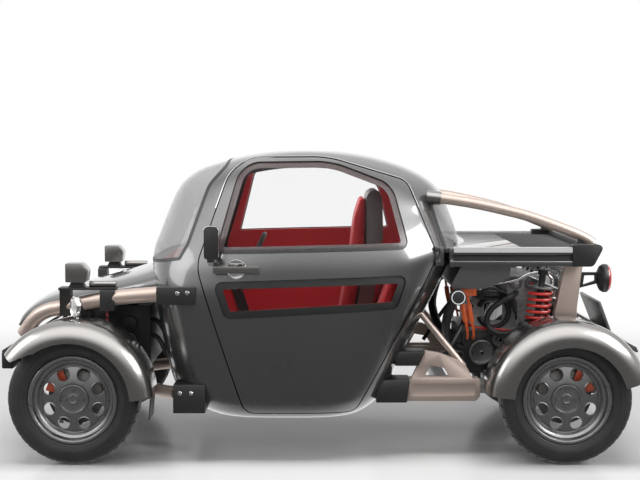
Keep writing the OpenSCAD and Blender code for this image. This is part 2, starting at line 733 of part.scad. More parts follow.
// Pulleys, rows of X, Z, radius and the Y of the face that each one sits on
block_face = -300 - seat_gap;
top_face = -250 - seat_gap;
PULLEYS = [
  [900, 520, 70, block_face], [1040, 470, 48, block_face], [1000, 590, 40, block_face],
  [1097, 905, 34, top_face], [1180, 900, 32, top_face], [1250, 860, 42, top_face]
];
module belt_drive() color(BLACK) {
  for (p = PULLEYS) translate([p[0], p[3], p[1]]) rotate([90, 0, 0]) difference() {
    cylinder(h = 30, r = p[2]);
    translate([0, 0, 12]) rotate_extrude() translate([p[2], 0]) circle(r = 5, $fn = 16);
    translate([0, 0, 22]) cylinder(h = 10, r = p[2] - 12);
  }
}
module engine_front() box([800 - seat_gap, -300 - seat_gap, 400], [1120, 300, 640]);
filler_hose = [
  [735, -560, 862.7], [730, -500, 850], [705, -470, 780], [690, -420, 690], [715, -330, 590],
  [770, -285, 543], [815, -285, 543]
];
hose_r = 13;
module engine_hoses() color(BLACK) {
  both_sides() filler();
  translate([970, -262 - seat_gap - hose_r, 742]) rotate([90, 0, 0]) rotate([0, 0, 200])
    rotate_extrude(angle = 320) translate([85, 0]) circle(r = hose_r);
}
module filler() {
  difference() {
    tube(curve(filler_hose, 2), 26, [0.3, 0.2, 1], 8);
    engine_front();
  }
  translate([735, -622, 862.7]) rotate([-90, 0, 0]) cylinder(h = 62, r = 42);
}
cable = [[772, -430, 856], [786, -440, 760], [808, -420, 660], [815, -360, 605], [818, -290, 602]];
module hv_cables() color("#d8641c") both_sides() {
  difference() {
    for (d = [0, 34]) translate([d, 0, 0]) tube(curve(cable, 2), 8, [1, 0.2, 0], 6);
    engine_front();
  }
  box([756, -470, 855], [850, -400, 904.7]);
}
module fuel_tank() color(STEEL) across(-585, 585)
  polygon(outline([
    [790, deck_z - 30.3, 10], [690, 905, 20], [880, 905, 60], [1010, 960, 60], [1030, deck_z - 30.3, 10]
  ]));

// Rear deck, its rails and the roof bars
deck_rail_y = 600;
module deck_rails() color(CHAMPAGNE) difference() {
  both_sides() difference() {
    box([682, -668, deck_z - deck_rail_h], [1330, -deck_rail_y, deck_z]);
    box([690, -680, deck_z - 68], [1340, -655, deck_z - 36]);
  }
  cabin(-seat_gap);
}
module deck_cap() color(BLACK) {
  both_sides() across(-668, -600)
    polygon(outline([
      [1330, deck_z - 98, 2], [1330, deck_z + 18, 8], [1500, deck_z + 18, 20], [1440, deck_z - 98, 30]
    ]));
  across(-600, 600)
    polygon(outline([
      [1425, deck_z - 60, 2], [1425, deck_z + 18, 8], [1500, deck_z + 18, 20], [1460, deck_z - 60, 20]
    ]));
}
module deck_panel() color(BODY) difference() {
  box([640, -600, deck_z - 30], [1080, 600, deck_z - 6]);
  both_sides() hinge_seat(1);
  cabin(-seat_gap);
}
module deck_grille() color(BLACK) {
  for (y = [-590:59:560]) box([1080, y, deck_z - 24], [1425, y + 16, deck_z - 10]);
  for (x = [1080, 1190, 1300, 1409]) box([x, -600, deck_z - 30], [x + 16, 600, deck_z - 24]);
}
module rear_posts() color(CHAMPAGNE) both_sides() difference() {
  across(-frame_out + 20, -frame_in)
    polygon([
      [1340, deck_z - 31], [1424.7, deck_z - 31], [1424.7, deck_z - 60], [1392, 800], [1376, 400],
      [1276, 400], [1268, 760]
    ]);
  box([1200, -1000, deck_z - deck_rail_h - seat_gap], [1500, seat_gap - deck_rail_y, deck_z]);
}
// Rows of X, Y and rise above the deck
BAR = [
  [640, -500, 258], [820, -504, 230], [988, -512, 194], [1120, -520, 160], [1230, -530, 122],
  [1330, -540, 84], [1400, -546, 54], [1442, -550, 30], [1456, -550, 5]
];
bar_path = [for (p = BAR) p + [0, 0, deck_z]];
bar_sleeve_d = 72;
module roof_bars() color(CHAMPAGNE) difference() {
  both_sides() {
    tube(curve(bar_path, 2), bar_d / 2);
    rod([560, -490, deck_z + 266], [650, -500.5, deck_z + 256], bar_sleeve_d / 2, $fn = 20);
  }
  cabin(-seat_gap);
  box([1300, -900, 900], [1560, 900, deck_z + 18 + seat_gap]);
}
// Round tail lamps with a domed back and lens, each on a bracket with an open middle
tail_x = 1500;
tail_y = frame_out - 20;
tail_z = 955;
tail_r = 76;
module tail_lamps() color(BLACK) both_sides() {
  translate([tail_x, -tail_y, tail_z]) rotate([0, 90, 0]) rotate_extrude()
    polygon([
      [0, 0], [tail_r - 30, 0], [tail_r - 10, 10], [tail_r, 26], [tail_r, 46], [tail_r - 8, 58],
      [tail_r - 34, 68], [0, 72]
    ]);
  difference() {
    across(-tail_y + 8, -tail_y + 30)
      polygon([[1404.5, 900], [1414.8, 985], [tail_x + 1, tail_z + 30], [tail_x + 1, tail_z - 30]]);
    across(-tail_y, -tail_y + 40)
      polygon([[1424, 918], [1430, 968], [tail_x - 14, tail_z + 14], [tail_x - 14, tail_z - 16]]);
  }
}
module plate_board() color(STEEL) across(-250, 250)
  polygon([[1560, 790], [1575, 796], [1640, 620.5], [1624, 628.8]]);

// Seats and controls
module driver_seat() color(RED) {
  box([-260, -230, 275 + seat_gap], [170, 230, 520]);
  across(-205, 205)
    polygon(outline([
      [80, 519, 4], [262, 519, 20], [355, 1150, 200], [350, 1420, 36], [266, 1420, 32], [215, 1120, 200]
    ]));
}
module rear_seats() color(RED) both_sides() {
  box([20, -585, 400], [262, -280, 520]);
  box([30, -430, 275 + seat_gap], [120, -330, 400]);
  across(-585, -280) polygon([[222, 520], [262, 520], [440, 980], [370, 980]]);
}
module column(r) rod([-690, 0, 857], [-395, 0, 1000], r);
module dashboard() color(BLACK) difference() {
  intersection() {
    across(-800, 800) polygon([[-760, 790], [-760, 985], [-690, 1000], [-652, 910], [-690, 790]]);
    cabin(wall + seat_gap);
  }
  column(30 + seat_gap);
}
module steering_wheel() color(BLACK) {
  translate([-395, 0, 1000]) rotate([0, -65, 0]) rotate_extrude() translate([175, 0]) circle(r = 14);
  column(30);
  translate([-395, 0, 1000]) rotate([0, -65, 0]) translate([-14, -175, -8]) cube([28, 350, 16]);
}

body_front();
body_floor();
body_roof();
body_rear();
windscreen();
rear_window();
door_left();
door_right();
door_glass_left();
door_glass_right();
door_fittings_left();
door_fittings_right();
mirror_left();
mirror_right();
door_hinges();
rim_fl();
rim_fr();
rim_rl();
rim_rr();
tyre_fl();
tyre_fr();
tyre_rl();
tyre_rr();
knuckle_fl();
knuckle_fr();
front_suspension();
front_struts();
front_coils();
front_fenders();
rear_fenders();
front_bumper();
front_rails();
lower_rails();
body_clamps();
hood();
front_lamps();
fender_lamps();
power_pack();
rear_beams();
rear_subframe();
rear_struts();
rear_coils();
engine_block();
intake_pipes();
belt_drive();
engine_hoses();
hv_cables();
fuel_tank();
deck_rails();
deck_cap();
deck_panel();
deck_grille();
rear_posts();
roof_bars();
tail_lamps();
plate_board();
driver_seat();
rear_seats();
dashboard();
steering_wheel();
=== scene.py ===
import math

import bmesh
import bpy
from mathutils import Matrix, Vector
from mathutils.geometry import convex_hull_2d


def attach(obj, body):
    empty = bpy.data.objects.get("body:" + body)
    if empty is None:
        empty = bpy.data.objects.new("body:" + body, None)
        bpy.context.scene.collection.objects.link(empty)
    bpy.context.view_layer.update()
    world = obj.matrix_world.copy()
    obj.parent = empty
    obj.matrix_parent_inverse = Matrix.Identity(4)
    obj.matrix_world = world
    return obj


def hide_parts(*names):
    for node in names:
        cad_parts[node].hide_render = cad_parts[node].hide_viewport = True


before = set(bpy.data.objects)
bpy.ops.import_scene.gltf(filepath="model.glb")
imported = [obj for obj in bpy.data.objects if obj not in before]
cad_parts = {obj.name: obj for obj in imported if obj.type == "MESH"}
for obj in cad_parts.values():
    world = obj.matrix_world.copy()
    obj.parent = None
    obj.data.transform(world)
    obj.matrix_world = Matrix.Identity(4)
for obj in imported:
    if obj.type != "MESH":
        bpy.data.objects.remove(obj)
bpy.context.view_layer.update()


# Studio: a pale floor that fades to white in the distance, a white surround, five soft lamps, two
# strips that show only as reflections and a small lamp in the cabin. The camera has a long lens and
# stands square to the left flank at the height of the roof.
class Shade:
    """A socket of a node tree: arithmetic on it adds Math nodes, node() adds any other node."""

    def __init__(self, tree, socket=None):
        self.tree, self.socket = tree, socket

    def node(self, kind, settings=None, out=0, **values):
        made = self.tree.nodes.new("ShaderNode" + kind)
        for key, value in (settings or {}).items():
            setattr(made, key, value)
        for key, value in values.items():
            target = made.inputs[int(key[1:]) if key[1:].isdigit() else key.replace("_", " ")]
            if isinstance(value, Shade):
                self.tree.links.new(value.socket, target)
            else:
                target.default_value = value
        return Shade(self.tree, made.outputs[out])

    def feed(self, target):
        self.tree.links.new(self.socket, target)

    def math(self, operation, first, second=0.0):
        return self.node("Math", {"operation": operation}, _0=first, _1=second)

    def __add__(self, other):
        return self.math("ADD", self, other)

    def __sub__(self, other):
        return self.math("SUBTRACT", self, other)

    def __rsub__(self, other):
        return self.math("SUBTRACT", other, self)

    def __mul__(self, other):
        return self.math("MULTIPLY", self, other)

    __radd__, __rmul__ = __add__, __mul__


def tone(level, tint=(1.0, 1.0, 1.0)):
    """A colour as the shader sockets take it."""
    return (level * tint[0], level * tint[1], level * tint[2], 1.0)


def finish(name, **constants):
    """A new surface: its material, its Object coordinates and its shader's sockets."""
    made = bpy.data.materials.new(name)
    made.use_nodes = True
    shader = made.node_tree.nodes["Principled BSDF"]
    for key, value in constants.items():
        shader.inputs[key.replace("_", " ")].default_value = value
    return made, Shade(made.node_tree).node("TexCoord", out=3), shader.inputs


def ramp(value, start, end):
    """A smooth step of a value, from 0 at the start to 1 at the end."""
    return value.node("MapRange", {"interpolation_type": "SMOOTHSTEP"}, Value=value,
                      From_Min=start, From_Max=end)


def to_mesh(bm, name="shape"):
    """The bmesh as a mesh; the bmesh is freed."""
    mesh = bpy.data.meshes.new(name)
    bm.to_mesh(mesh)
    bm.free()
    return mesh


FLOOR_R, FADE_START, FADE_END = 60.0, 2.4, 5.5
floor_mat, spot, sockets = finish("floor", Base_Color=tone(0.66), Roughness=0.22, Specular_IOR_Level=0.08)
far = ramp(spot.node("VectorMath", {"operation": "LENGTH"}, out=1, _0=spot), FADE_START, FADE_END)
glow = far.node("Emission", Color=tone(1.0), Strength=1.0)
tree = floor_mat.node_tree
faded = far.node("MixShader", Fac=far, _1=Shade(tree, tree.nodes["Principled BSDF"].outputs[0]), _2=glow)
faded.feed(tree.nodes["Material Output"].inputs["Surface"])
bm = bmesh.new()
bmesh.ops.create_circle(bm, cap_ends=True, segments=96, radius=FLOOR_R)
ground = to_mesh(bm, "floor")
ground.materials.append(floor_mat)
floor = bpy.data.objects.new("floor", ground)
bpy.context.scene.collection.objects.link(floor)
floor.visible_glossy = False

world = bpy.data.worlds.new("studio")
bpy.context.scene.world = world
world.use_nodes = True
sky = Shade(world.node_tree)
ray = world.node_tree.nodes.new("ShaderNodeLightPath")
camera_ray, glossy_ray, glass_ray = (Shade(world.node_tree, ray.outputs[f"Is {kind} Ray"])
                                     for kind in ("Camera", "Glossy", "Transmission"))
seen = sky.math("MAXIMUM", camera_ray, glass_ray)
heading = sky.node("TexCoord", out=0)
across, rise = (sky.node("SeparateXYZ", Vector=heading, out=axis) for axis in (1, 2))
back, low, up = ramp(across, -0.35, 0.25), ramp(rise, 0.45, 0.12), ramp(rise, 0.05, 0.75)
WALL_GLOW, SKY_GLOW, SKY_LOSS, LEAST_GLOW, AMBIENT = 0.84, 2.8, 0.65, 0.20, 0.28
ends = back * low * WALL_GLOW + up * (1 - back * SKY_LOSS) * SKY_GLOW + LEAST_GLOW
backdrop = world.node_tree.nodes["Background"]
backdrop.inputs["Color"].default_value = tone(1.0)
unseen = glossy_ray * ends + (1 - glossy_ray) * AMBIENT
(seen + (1 - seen) * unseen).feed(backdrop.inputs["Strength"])

for name, place, aim, size, watts, mirrored_in in (
    ("top_lamp", (0.0, -1.3, 4.4), (0.0, -0.4, 0.6), (5.5, 1.5), 230.0, False),
    ("flank_lamp", (-0.8, -6.5, 3.8), (0.0, 0.0, 0.7), (5.0, 2.5), 75.0, False),
    ("tail_lamp", (4.8, -2.4, 2.6), (1.0, 0.0, 0.7), (2.2, 2.4), 50.0, False),
    ("nose_lamp", (-4.8, -1.6, 2.4), (-1.0, 0.0, 0.6), (2.2, 2.4), 50.0, False),
    ("back_lamp", (0.0, 5.2, 4.4), (0.0, 0.0, 0.7), (5.0, 2.0), 80.0, False),
    ("tail_strip", (4.8, -2.4, 3.7), (0.4, -0.6, 1.0), (3.8, 2.4), 300.0, True),
    ("nose_strip", (-5.2, -1.4, 3.2), (-0.6, -0.6, 1.0), (3.2, 2.4), 85.0, True),
    ("dome_lamp", (-0.1, 0.0, 1.54), (-0.1, 0.0, 0.5), (0.7, 0.5), 5.0, False),
):
    lamp = bpy.data.lights.new(name, "AREA")
    lamp.shape, lamp.size, lamp.size_y, lamp.energy = "RECTANGLE", size[0], size[1], watts
    lit = bpy.data.objects.new(name, lamp)
    lit.location, lit.visible_glossy = place, mirrored_in
    lit.rotation_euler = (Vector(aim) - Vector(place)).to_track_quat("-Z", "Y").to_euler()
    lit.visible_diffuse = not name.endswith("strip")
    bpy.context.scene.collection.objects.link(lit)

LENS, SENSOR, EYE, TILT = 70.0, 36.0, (0.0, -7.19, 1.65), 4.18
eye = bpy.data.cameras.new("camera")
eye.lens, eye.sensor_width = LENS, SENSOR
camera = bpy.data.objects.new("camera", eye)
camera.location = EYE
camera.rotation_euler = (math.radians(90.0 - TILT), 0.0, 0.0)
bpy.context.scene.collection.objects.link(camera)
bpy.context.scene.camera = camera
bpy.context.scene.view_settings.view_transform = "Standard"


# Cabin shell: one bonded capsule of painted sheet, lined inside, with openings for two doors, a
# wrapped windscreen and a rear window. It is lofted from level rings and cut by side-view outlines.
CABIN = [
    (0.215, -0.540, 0.200, 0.600, 3.6), (0.235, -0.620, 0.255, 0.680, 4.0),
    (0.290, -0.712, 0.322, 0.740, 4.3), (0.380, -0.800, 0.385, 0.780, 4.5),
    (0.600, -0.860, 0.490, 0.815, 4.5), (0.850, -0.905, 0.620, 0.828, 4.4),
    (1.000, -0.928, 0.705, 0.815, 3.8), (1.100, -0.932, 0.775, 0.796, 3.3),
    (1.200, -0.900, 0.770, 0.766, 3.0), (1.300, -0.864, 0.735, 0.728, 2.8),
    (1.400, -0.822, 0.692, 0.682, 2.7), (1.480, -0.768, 0.615, 0.636, 2.6),
    (1.545, -0.672, 0.498, 0.580, 2.5), (1.590, -0.530, 0.370, 0.515, 2.4),
    (1.620, -0.400, 0.245, 0.425, 2.3), (1.638, -0.270, 0.115, 0.300, 2.2),
    (1.645, -0.130, -0.020, 0.120, 2.0),
]
CABIN_MID = Vector((-0.100, 0.0, 0.930))
CABIN_HALF = Vector((0.830, 0.828, 0.715))
DOOR = [
    (-0.455, 1.602, 0.190), (-0.640, 1.046, 0.170), (-0.390, 0.264, 0.060), (0.182, 0.264, 0.060),
    (0.619, 1.086, 0.100), (0.463, 1.479, 0.080), (0.040, 1.606, 0.500),
]
WINDOW = [
    (-0.420, 1.582, 0.130), (-0.548, 1.105, 0.030), (0.470, 1.128, 0.045), (0.385, 1.465, 0.130),
    (0.060, 1.588, 0.400),
]
LOW_WINDOW = [(-0.556, 0.965, 0.040), (-0.492, 0.772, 0.040), (0.400, 0.822, 0.040), (0.462, 0.998, 0.040)]
WINDSCREEN = [
    (-1.100, 1.036, 0.001), (-0.940, 1.036, 0.060), (-0.735, 1.072, 0.012), (-0.690, 1.150, 0.060),
    (-0.588, 1.456, 0.120), (-0.500, 1.560, 0.060), (-0.470, 1.800, 0.001), (-1.100, 1.800, 0.001),
]
REAR_WINDOW = [(0.668, 1.090, 0.030), (0.585, 1.366, 0.025), (1.000, 1.366, 0.001), (1.000, 1.090, 0.001)]


def spline(rows, share):
    """The row at a share of the way along the smooth curve through the rows, counted in rows."""
    at = min(int(share), len(rows) - 2)
    t = share - at
    four = (rows[min(max(k, 0), len(rows) - 1)] for k in (at - 1, at, at + 1, at + 2))
    return [0.5 * (2 * b + (c - a) * t + (2 * a - 5 * b + 4 * c - d) * t * t
                   + (3 * b - a - 3 * c + d) * t ** 3)
            for a, b, c, d in zip(*four)]


def power(value, exponent):
    """A power that keeps the sign."""
    return math.copysign(abs(value) ** exponent, value)


RING_STEPS, RING_SIDES = 6, 176
bm = bmesh.new()
last = None
for step in range((len(CABIN) - 1) * RING_STEPS + 1):
    z, front, rear, half, square = spline(CABIN, step / RING_STEPS)
    ring = bmesh.ops.create_circle(bm, segments=RING_SIDES, radius=1.0)["verts"]
    for vert in ring:
        along, beside = power(vert.co.x, 2 / square), power(vert.co.y, 2 / square)
        vert.co = ((front + rear) / 2 + (rear - front) / 2 * along, half * beside, z)
    loop = list({edge for vert in ring for edge in vert.link_edges})
    if last:
        bmesh.ops.bridge_loops(bm, edges=last + loop)
    last = loop
bmesh.ops.holes_fill(bm, edges=bm.edges, sides=0)
bmesh.ops.recalc_face_normals(bm, faces=bm.faces)
capsule = to_mesh(bm, "capsule")


def layer(outer, inner, lining=1):
    """The cabin's wall between two depths below its outer face, lined on its inner side."""
    bm = bmesh.new()
    for depth, inside in ((outer, False), (inner, True)):
        old = set(bm.faces)
        bm.from_mesh(capsule)
        faces = [face for face in bm.faces if face not in old]
        verts = list({vert for face in faces for vert in face.verts})
        scale = [1 - depth / half for half in CABIN_HALF]
        bmesh.ops.scale(bm, vec=scale, verts=verts, space=Matrix.Translation(-CABIN_MID))
        if inside:
            bmesh.ops.reverse_faces(bm, faces=faces)
            for face in faces:
                face.material_index = lining
    return to_mesh(bm)


def grown(corners, by):
    """The outline with every side moved outwards."""
    points = [Vector(corner[:2]) for corner in corners]
    area = sum(a.cross(b) for a, b in zip(points, points[1:] + points[:1]))
    made = []
    for k, point in enumerate(points):
        u = (points[k - 1] - point).normalized()
        v = (points[(k + 1) % len(points)] - point).normalized()
        bulge = math.copysign(1.0, v.cross(u) * area)
        made.append((*(point - (u + v).normalized() * (bulge * by / math.sin(u.angle(v) / 2))),
                     max(0.0005, corners[k][2] + bulge * by)))
    return made


def prism(corners, low, high, material=0):
    """A side-view outline with rounded corners, carried across from one Y to another."""
    bm = bmesh.new()
    verts = [bm.verts.new((x, low, z)) for x, z, _ in corners]
    bm.faces.new(verts)
    for k, vert in enumerate(verts):
        u = Vector(corners[k - 1][:2]) - Vector(corners[k][:2])
        v = Vector(corners[(k + 1) % len(corners)][:2]) - Vector(corners[k][:2])
        bmesh.ops.bevel(bm, geom=[vert], offset=corners[k][2] / math.tan(u.angle(v) / 2),
                        offset_type="OFFSET", affect="VERTICES", segments=8, profile=0.5, material=-1)
    made = bmesh.ops.extrude_face_region(bm, geom=bm.faces[:])["geom"]
    carried = [item for item in made if isinstance(item, bmesh.types.BMVert)]
    bmesh.ops.translate(bm, vec=(0.0, high - low, 0.0), verts=carried)
    bmesh.ops.recalc_face_normals(bm, faces=bm.faces)
    for face in bm.faces:
        face.material_index = material
    return to_mesh(bm)


def carved(mesh, operation, *tools):
    """The mesh after a Boolean with each tool in turn."""
    worked = bpy.data.objects.new("worked", mesh)
    bpy.context.scene.collection.objects.link(worked)
    held = []
    for shape in (mesh, *tools):
        while len(shape.materials) < 3:
            shape.materials.append(None)
    for tool in tools:
        block = bpy.data.objects.new("tool", tool)
        bpy.context.scene.collection.objects.link(block)
        step = worked.modifiers.new("cut", "BOOLEAN")
        step.operation, step.object, step.solver = operation, block, "MANIFOLD"
        held.append(block)
    done = bpy.data.meshes.new_from_object(worked.evaluated_get(bpy.context.evaluated_depsgraph_get()))
    for block in held + [worked]:
        bpy.data.objects.remove(block)
    return done


def mirrored(mesh):
    """The same shape on the other side of the car."""
    bm = bmesh.new()
    bm.from_mesh(mesh)
    bmesh.ops.scale(bm, vec=(1.0, -1.0, 1.0), verts=bm.verts)
    bmesh.ops.reverse_faces(bm, faces=bm.faces)
    return to_mesh(bm)


def sided(mesh, side):
    """A copy of a left shape, mirrored for the right side."""
    return mirrored(mesh) if side == "right" else mesh.copy()


def merged(*meshes):
    """Several meshes as one."""
    bm = bmesh.new()
    for mesh in meshes:
        bm.from_mesh(mesh)
    return to_mesh(bm)


def piece(name, shape, body, *finishes, stands_for=(), slot=None, crease=35.0):
    """A finished piece on a body: a mesh or a bmesh, shaded smooth up to the crease angle."""
    mesh = shape if isinstance(shape, bpy.types.Mesh) else to_mesh(shape)
    mesh.name = name
    mesh.shade_smooth()
    mesh.set_sharp_from_angle(angle=math.radians(crease))
    marks = [min(face.material_index, len(finishes) - 1) for face in mesh.polygons]
    mesh.materials.clear()
    for made in finishes:
        mesh.materials.append(made)
    mesh.polygons.foreach_set("material_index", marks)
    made = bpy.data.objects.new(name, mesh)
    bpy.context.scene.collection.objects.link(made)
    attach(made, body)
    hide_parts(*stands_for)
    return made


def blend(share, dark, light):
    """A colour between two others."""
    return share.node("Mix", {"data_type": "RGBA"}, out=2, _0=share, _6=dark, _7=light)


paint, spot, sockets = finish("gunmetal_paint", Metallic=0.75, Coat_Weight=1.0, Coat_Roughness=0.04)
flake = spot.node("TexNoise", Vector=spot, Scale=900.0, Detail=1.0)
haze = spot.node("TexNoise", Vector=spot, Scale=2.2, Detail=3.0)
blend(flake * 0.6 + haze * 0.3, tone(0.075), tone(0.12)).feed(sockets["Base Color"])
(haze * 0.08 + 0.24).feed(sockets["Roughness"])

red_trim, spot, sockets = finish("red_trim", Base_Color=tone(1.0, (0.40, 0.012, 0.018)), Sheen_Weight=0.15)
grain = spot.node("TexVoronoi", Vector=spot, Scale=420.0)
(grain * 0.2 + 0.42).feed(sockets["Roughness"])
grain.node("Bump", Strength=0.25, Distance=0.001, Height=grain).feed(sockets["Normal"])

black_trim, spot, sockets = finish("black_trim")
grain = spot.node("TexNoise", Vector=spot, Scale=650.0, Detail=2.0)
blend(grain, tone(0.010), tone(0.022)).feed(sockets["Base Color"])
(grain * 0.15 + 0.34).feed(sockets["Roughness"])
grain.node("Bump", Strength=0.15, Distance=0.0006, Height=grain).feed(sockets["Normal"])

WALL, DOOR_GAP, SKIN = 0.060, 0.006, 0.008
NEAR, ACROSS, THROUGH = (-1.0, -0.44), (-1.0, 1.0), (-1.1, -0.3)
opening = prism(grown(DOOR, DOOR_GAP), *NEAR)
shell = carved(layer(0.0, WALL), "DIFFERENCE", opening, mirrored(opening),
               prism(WINDSCREEN, *ACROSS, 2), prism(REAR_WINDOW, *ACROSS, 2))
piece("cabin_shell", shell, "chassis", paint, red_trim, black_trim,
      stands_for=("body_front", "body_floor", "body_roof", "body_rear"), crease=30.0)


# Windscreen and rear window: curved laminated glass let into the shell from outside, each held by a
# black gasket that is bonded over its edge.
glass, spot, sockets = finish("screen_glass", Base_Color=tone(0.30), Roughness=0.03, IOR=1.5)
fog = spot.node("TexNoise", Vector=spot, Scale=1.5, Detail=2.0)
(fog * 0.12 + 0.34).feed(sockets["Alpha"])
gasket_black, spot, sockets = finish("gasket_black", Base_Color=tone(0.010))
dots = spot.node("TexNoise", Vector=spot, Scale=300.0)
(dots * 0.1 + 0.4).feed(sockets["Roughness"])
GLASS_OUT, GLASS_IN, BAND_IN, PANE_GAP = 0.0015, 0.0065, 0.0076, 0.0006
for name, corners, edge in (("windscreen", WINDSCREEN, 0.014), ("rear_window", REAR_WINDOW, 0.016)):
    pane = carved(layer(GLASS_OUT, GLASS_IN, 0), "INTERSECT", prism(grown(corners, -PANE_GAP), *ACROSS))
    piece(name + "_glass", pane, "chassis", glass, stands_for=(name,))
    band = carved(layer(-0.0010, GLASS_OUT - 0.0001, 0), "INTERSECT", prism(grown(corners, 0.002), *ACROSS))
    band = carved(band, "DIFFERENCE", prism(grown(corners, -edge), -1.1, 1.1))
    piece(name + "_gasket", band, "chassis", gasket_black, slot=name)


# Doors: pressed skins on a boxed inner frame, trimmed in red leather, with a tall glass above the
# shoulder and a low strip of glass below it. Both are hinged at their rear edge.
clear_glass, spot, sockets = finish("door_glass", Base_Color=tone(0.05), Roughness=0.02, IOR=1.5)
fog = spot.node("TexNoise", Vector=spot, Scale=1.2, Detail=2.0)
(fog * 0.02 + 0.02).feed(sockets["Alpha"])
tinted, spot, sockets = finish("tinted_band", Base_Color=tone(0.060, (1.0, 0.72, 0.72)))
dots = spot.node("TexNoise", Vector=spot, Scale=400.0)
(dots * 0.1 + 0.15).feed(sockets["Roughness"])

door = carved(layer(0.0, SKIN), "INTERSECT", prism(DOOR, *NEAR))
door = carved(door, "DIFFERENCE", prism(WINDOW, *THROUGH, 2), prism(LOW_WINDOW, *THROUGH, 2))
frame_box = carved(layer(SKIN - 0.0002, WALL), "INTERSECT", prism(grown(DOOR, -0.030), *NEAR))
frame_box = carved(frame_box, "DIFFERENCE", prism(grown(WINDOW, -0.030), *THROUGH, 1),
                   prism(grown(LOW_WINDOW, -0.034), *THROUGH, 1))
BOWL, BOWL_R, BOWL_DEPTH = (-0.432, -0.8352, 1.030), 0.0521, 0.10
bm = bmesh.new()
bmesh.ops.create_cone(bm, cap_ends=True, segments=64, radius1=BOWL_R, radius2=BOWL_R, depth=BOWL_DEPTH,
                      matrix=Matrix.Translation(BOWL) @ Matrix.Rotation(math.pi / 2, 4, "X"))
door = carved(carved(door, "UNION", frame_box), "DIFFERENCE", to_mesh(bm))
panes = merged(*(
    carved(layer(GLASS_OUT, GLASS_IN, 0), "INTERSECT", prism(grown(corners, -PANE_GAP), *NEAR))
    for corners in (WINDOW, LOW_WINDOW)))
bands = []
for corners, width in ((WINDOW, 0.036), (LOW_WINDOW, 0.040)):
    band = carved(layer(GLASS_IN + 0.0003, BAND_IN, 0), "INTERSECT", prism(grown(corners, -PANE_GAP), *NEAR))
    bands.append(carved(band, "DIFFERENCE", prism(grown(corners, -width), *THROUGH)))
sill = carved(layer(GLASS_IN + 0.00005, GLASS_IN + 0.00025, 0), "INTERSECT",
              prism(grown(WINDOW, -PANE_GAP), *NEAR),
              prism([(-0.60, 1.09, 0.001), (0.60, 1.116, 0.001), (0.60, 1.150, 0.001), (-0.60, 1.126, 0.001)],
                    -1.2, -0.2))
for side in ("left", "right"):
    body, pane = f"door_{side}", f"door_glass_{side}"
    piece(f"door_{side}_panel", sided(door, side), body, paint, red_trim, black_trim,
          stands_for=(body,), crease=30.0)
    piece(f"door_{side}_panes", sided(panes, side), body, clear_glass, stands_for=(pane,))
    piece(f"door_{side}_high_band", sided(bands[0], side), body, tinted, slot=pane)
    piece(f"door_{side}_low_band", sided(bands[1], side), body, gasket_black, slot=pane)
    piece(f"door_{side}_sill", sided(sill, side), body, gasket_black, slot=pane)


# Door seals and drip strips: a soft black section pressed round each opening on the inside, which the
# door closes against, and a bright strip let into the roof above it.
def ring_of(shape, outer, inner):
    """The part of a layer between two side-view outlines of the left side."""
    kept = carved(shape, "INTERSECT", prism(outer, -1.0, -0.36))
    return carved(kept, "DIFFERENCE", prism(inner, *THROUGH))


def slab(front, rear, low, high, left, right, edge=0.001):
    """A plain block, rounded at the corners of its side view."""
    corners = ((front, low), (rear, low), (rear, high), (front, high))
    return prism([(*corner, edge) for corner in corners], left, right)


soft_black, spot, sockets = finish("seal_rubber", Base_Color=tone(0.010))
pores = spot.node("TexNoise", Vector=spot, Scale=500.0, Detail=2.0)
(pores * 0.2 + 0.6).feed(sockets["Roughness"])
chrome, spot, sockets = finish("chrome", Metallic=1.0, Base_Color=tone(0.74))
smear = spot.node("TexNoise", Vector=spot, Scale=20.0, Detail=3.0)
(smear * 0.05 + 0.04).feed(sockets["Roughness"])
seal = ring_of(layer(WALL + 0.001, WALL + 0.014, 0), grown(DOOR, 0.016), grown(DOOR, -0.046))
strip = ring_of(layer(-0.0012, 0.002, 0), grown(DOOR, 0.0105), grown(DOOR, 0.0070))
strip = carved(strip, "INTERSECT", slab(-0.60, 0.60, 1.34, 1.80, -1.2, -0.2))
for side in ("left", "right"):
    piece(f"door_seal_{side}", sided(seal, side), "chassis", soft_black, slot="body_roof")
    piece(f"drip_strip_{side}", sided(strip, side), "chassis", chrome, slot="body_roof")


# Wheels: forged alloy discs with eight round holes, a stepped lip and a bolted hub cap. The vented
# brake disc is bolted on behind and turns with the wheel.
WHEEL_X, WHEEL_Y, AXLE = 1.290, 0.700, 0.345


def turned(profile, angle=360.0, steps=128, start=0.0, closed=True):
    """A radius and offset profile turned about the Y axis, with offsets pointing out to the left."""
    bm = bmesh.new()
    verts = [bm.verts.new((radius, -offset, 0.0)) for radius, offset in profile]
    ends = verts[1:] + verts[:1] if closed else verts[1:]
    for a, b in zip(verts, ends):
        bm.edges.new((a, b))
    bmesh.ops.rotate(bm, verts=bm.verts, matrix=Matrix.Rotation(math.radians(-start), 3, "Y"))
    full = angle == 360.0
    rim = bm.edges[:]
    bmesh.ops.spin(bm, geom=bm.verts[:] + rim, axis=(0.0, -1.0, 0.0), angle=math.radians(angle),
                   steps=steps, use_merge=full)
    bmesh.ops.remove_doubles(bm, verts=bm.verts, dist=1e-6)
    if not full:
        bmesh.ops.holes_fill(bm, edges=bm.edges, sides=0)
    bmesh.ops.recalc_face_normals(bm, faces=bm.faces)
    return bm


def softened(bm, width, above=30.0, segments=2):
    """The bmesh with its sharp edges rounded."""
    sharp = [edge for edge in bm.edges if edge.is_manifold and edge.calc_face_angle() > math.radians(above)]
    bmesh.ops.bevel(bm, geom=sharp, offset=width, affect="EDGES", segments=segments, profile=0.5, material=-1,
                    clamp_overlap=True)
    return bm


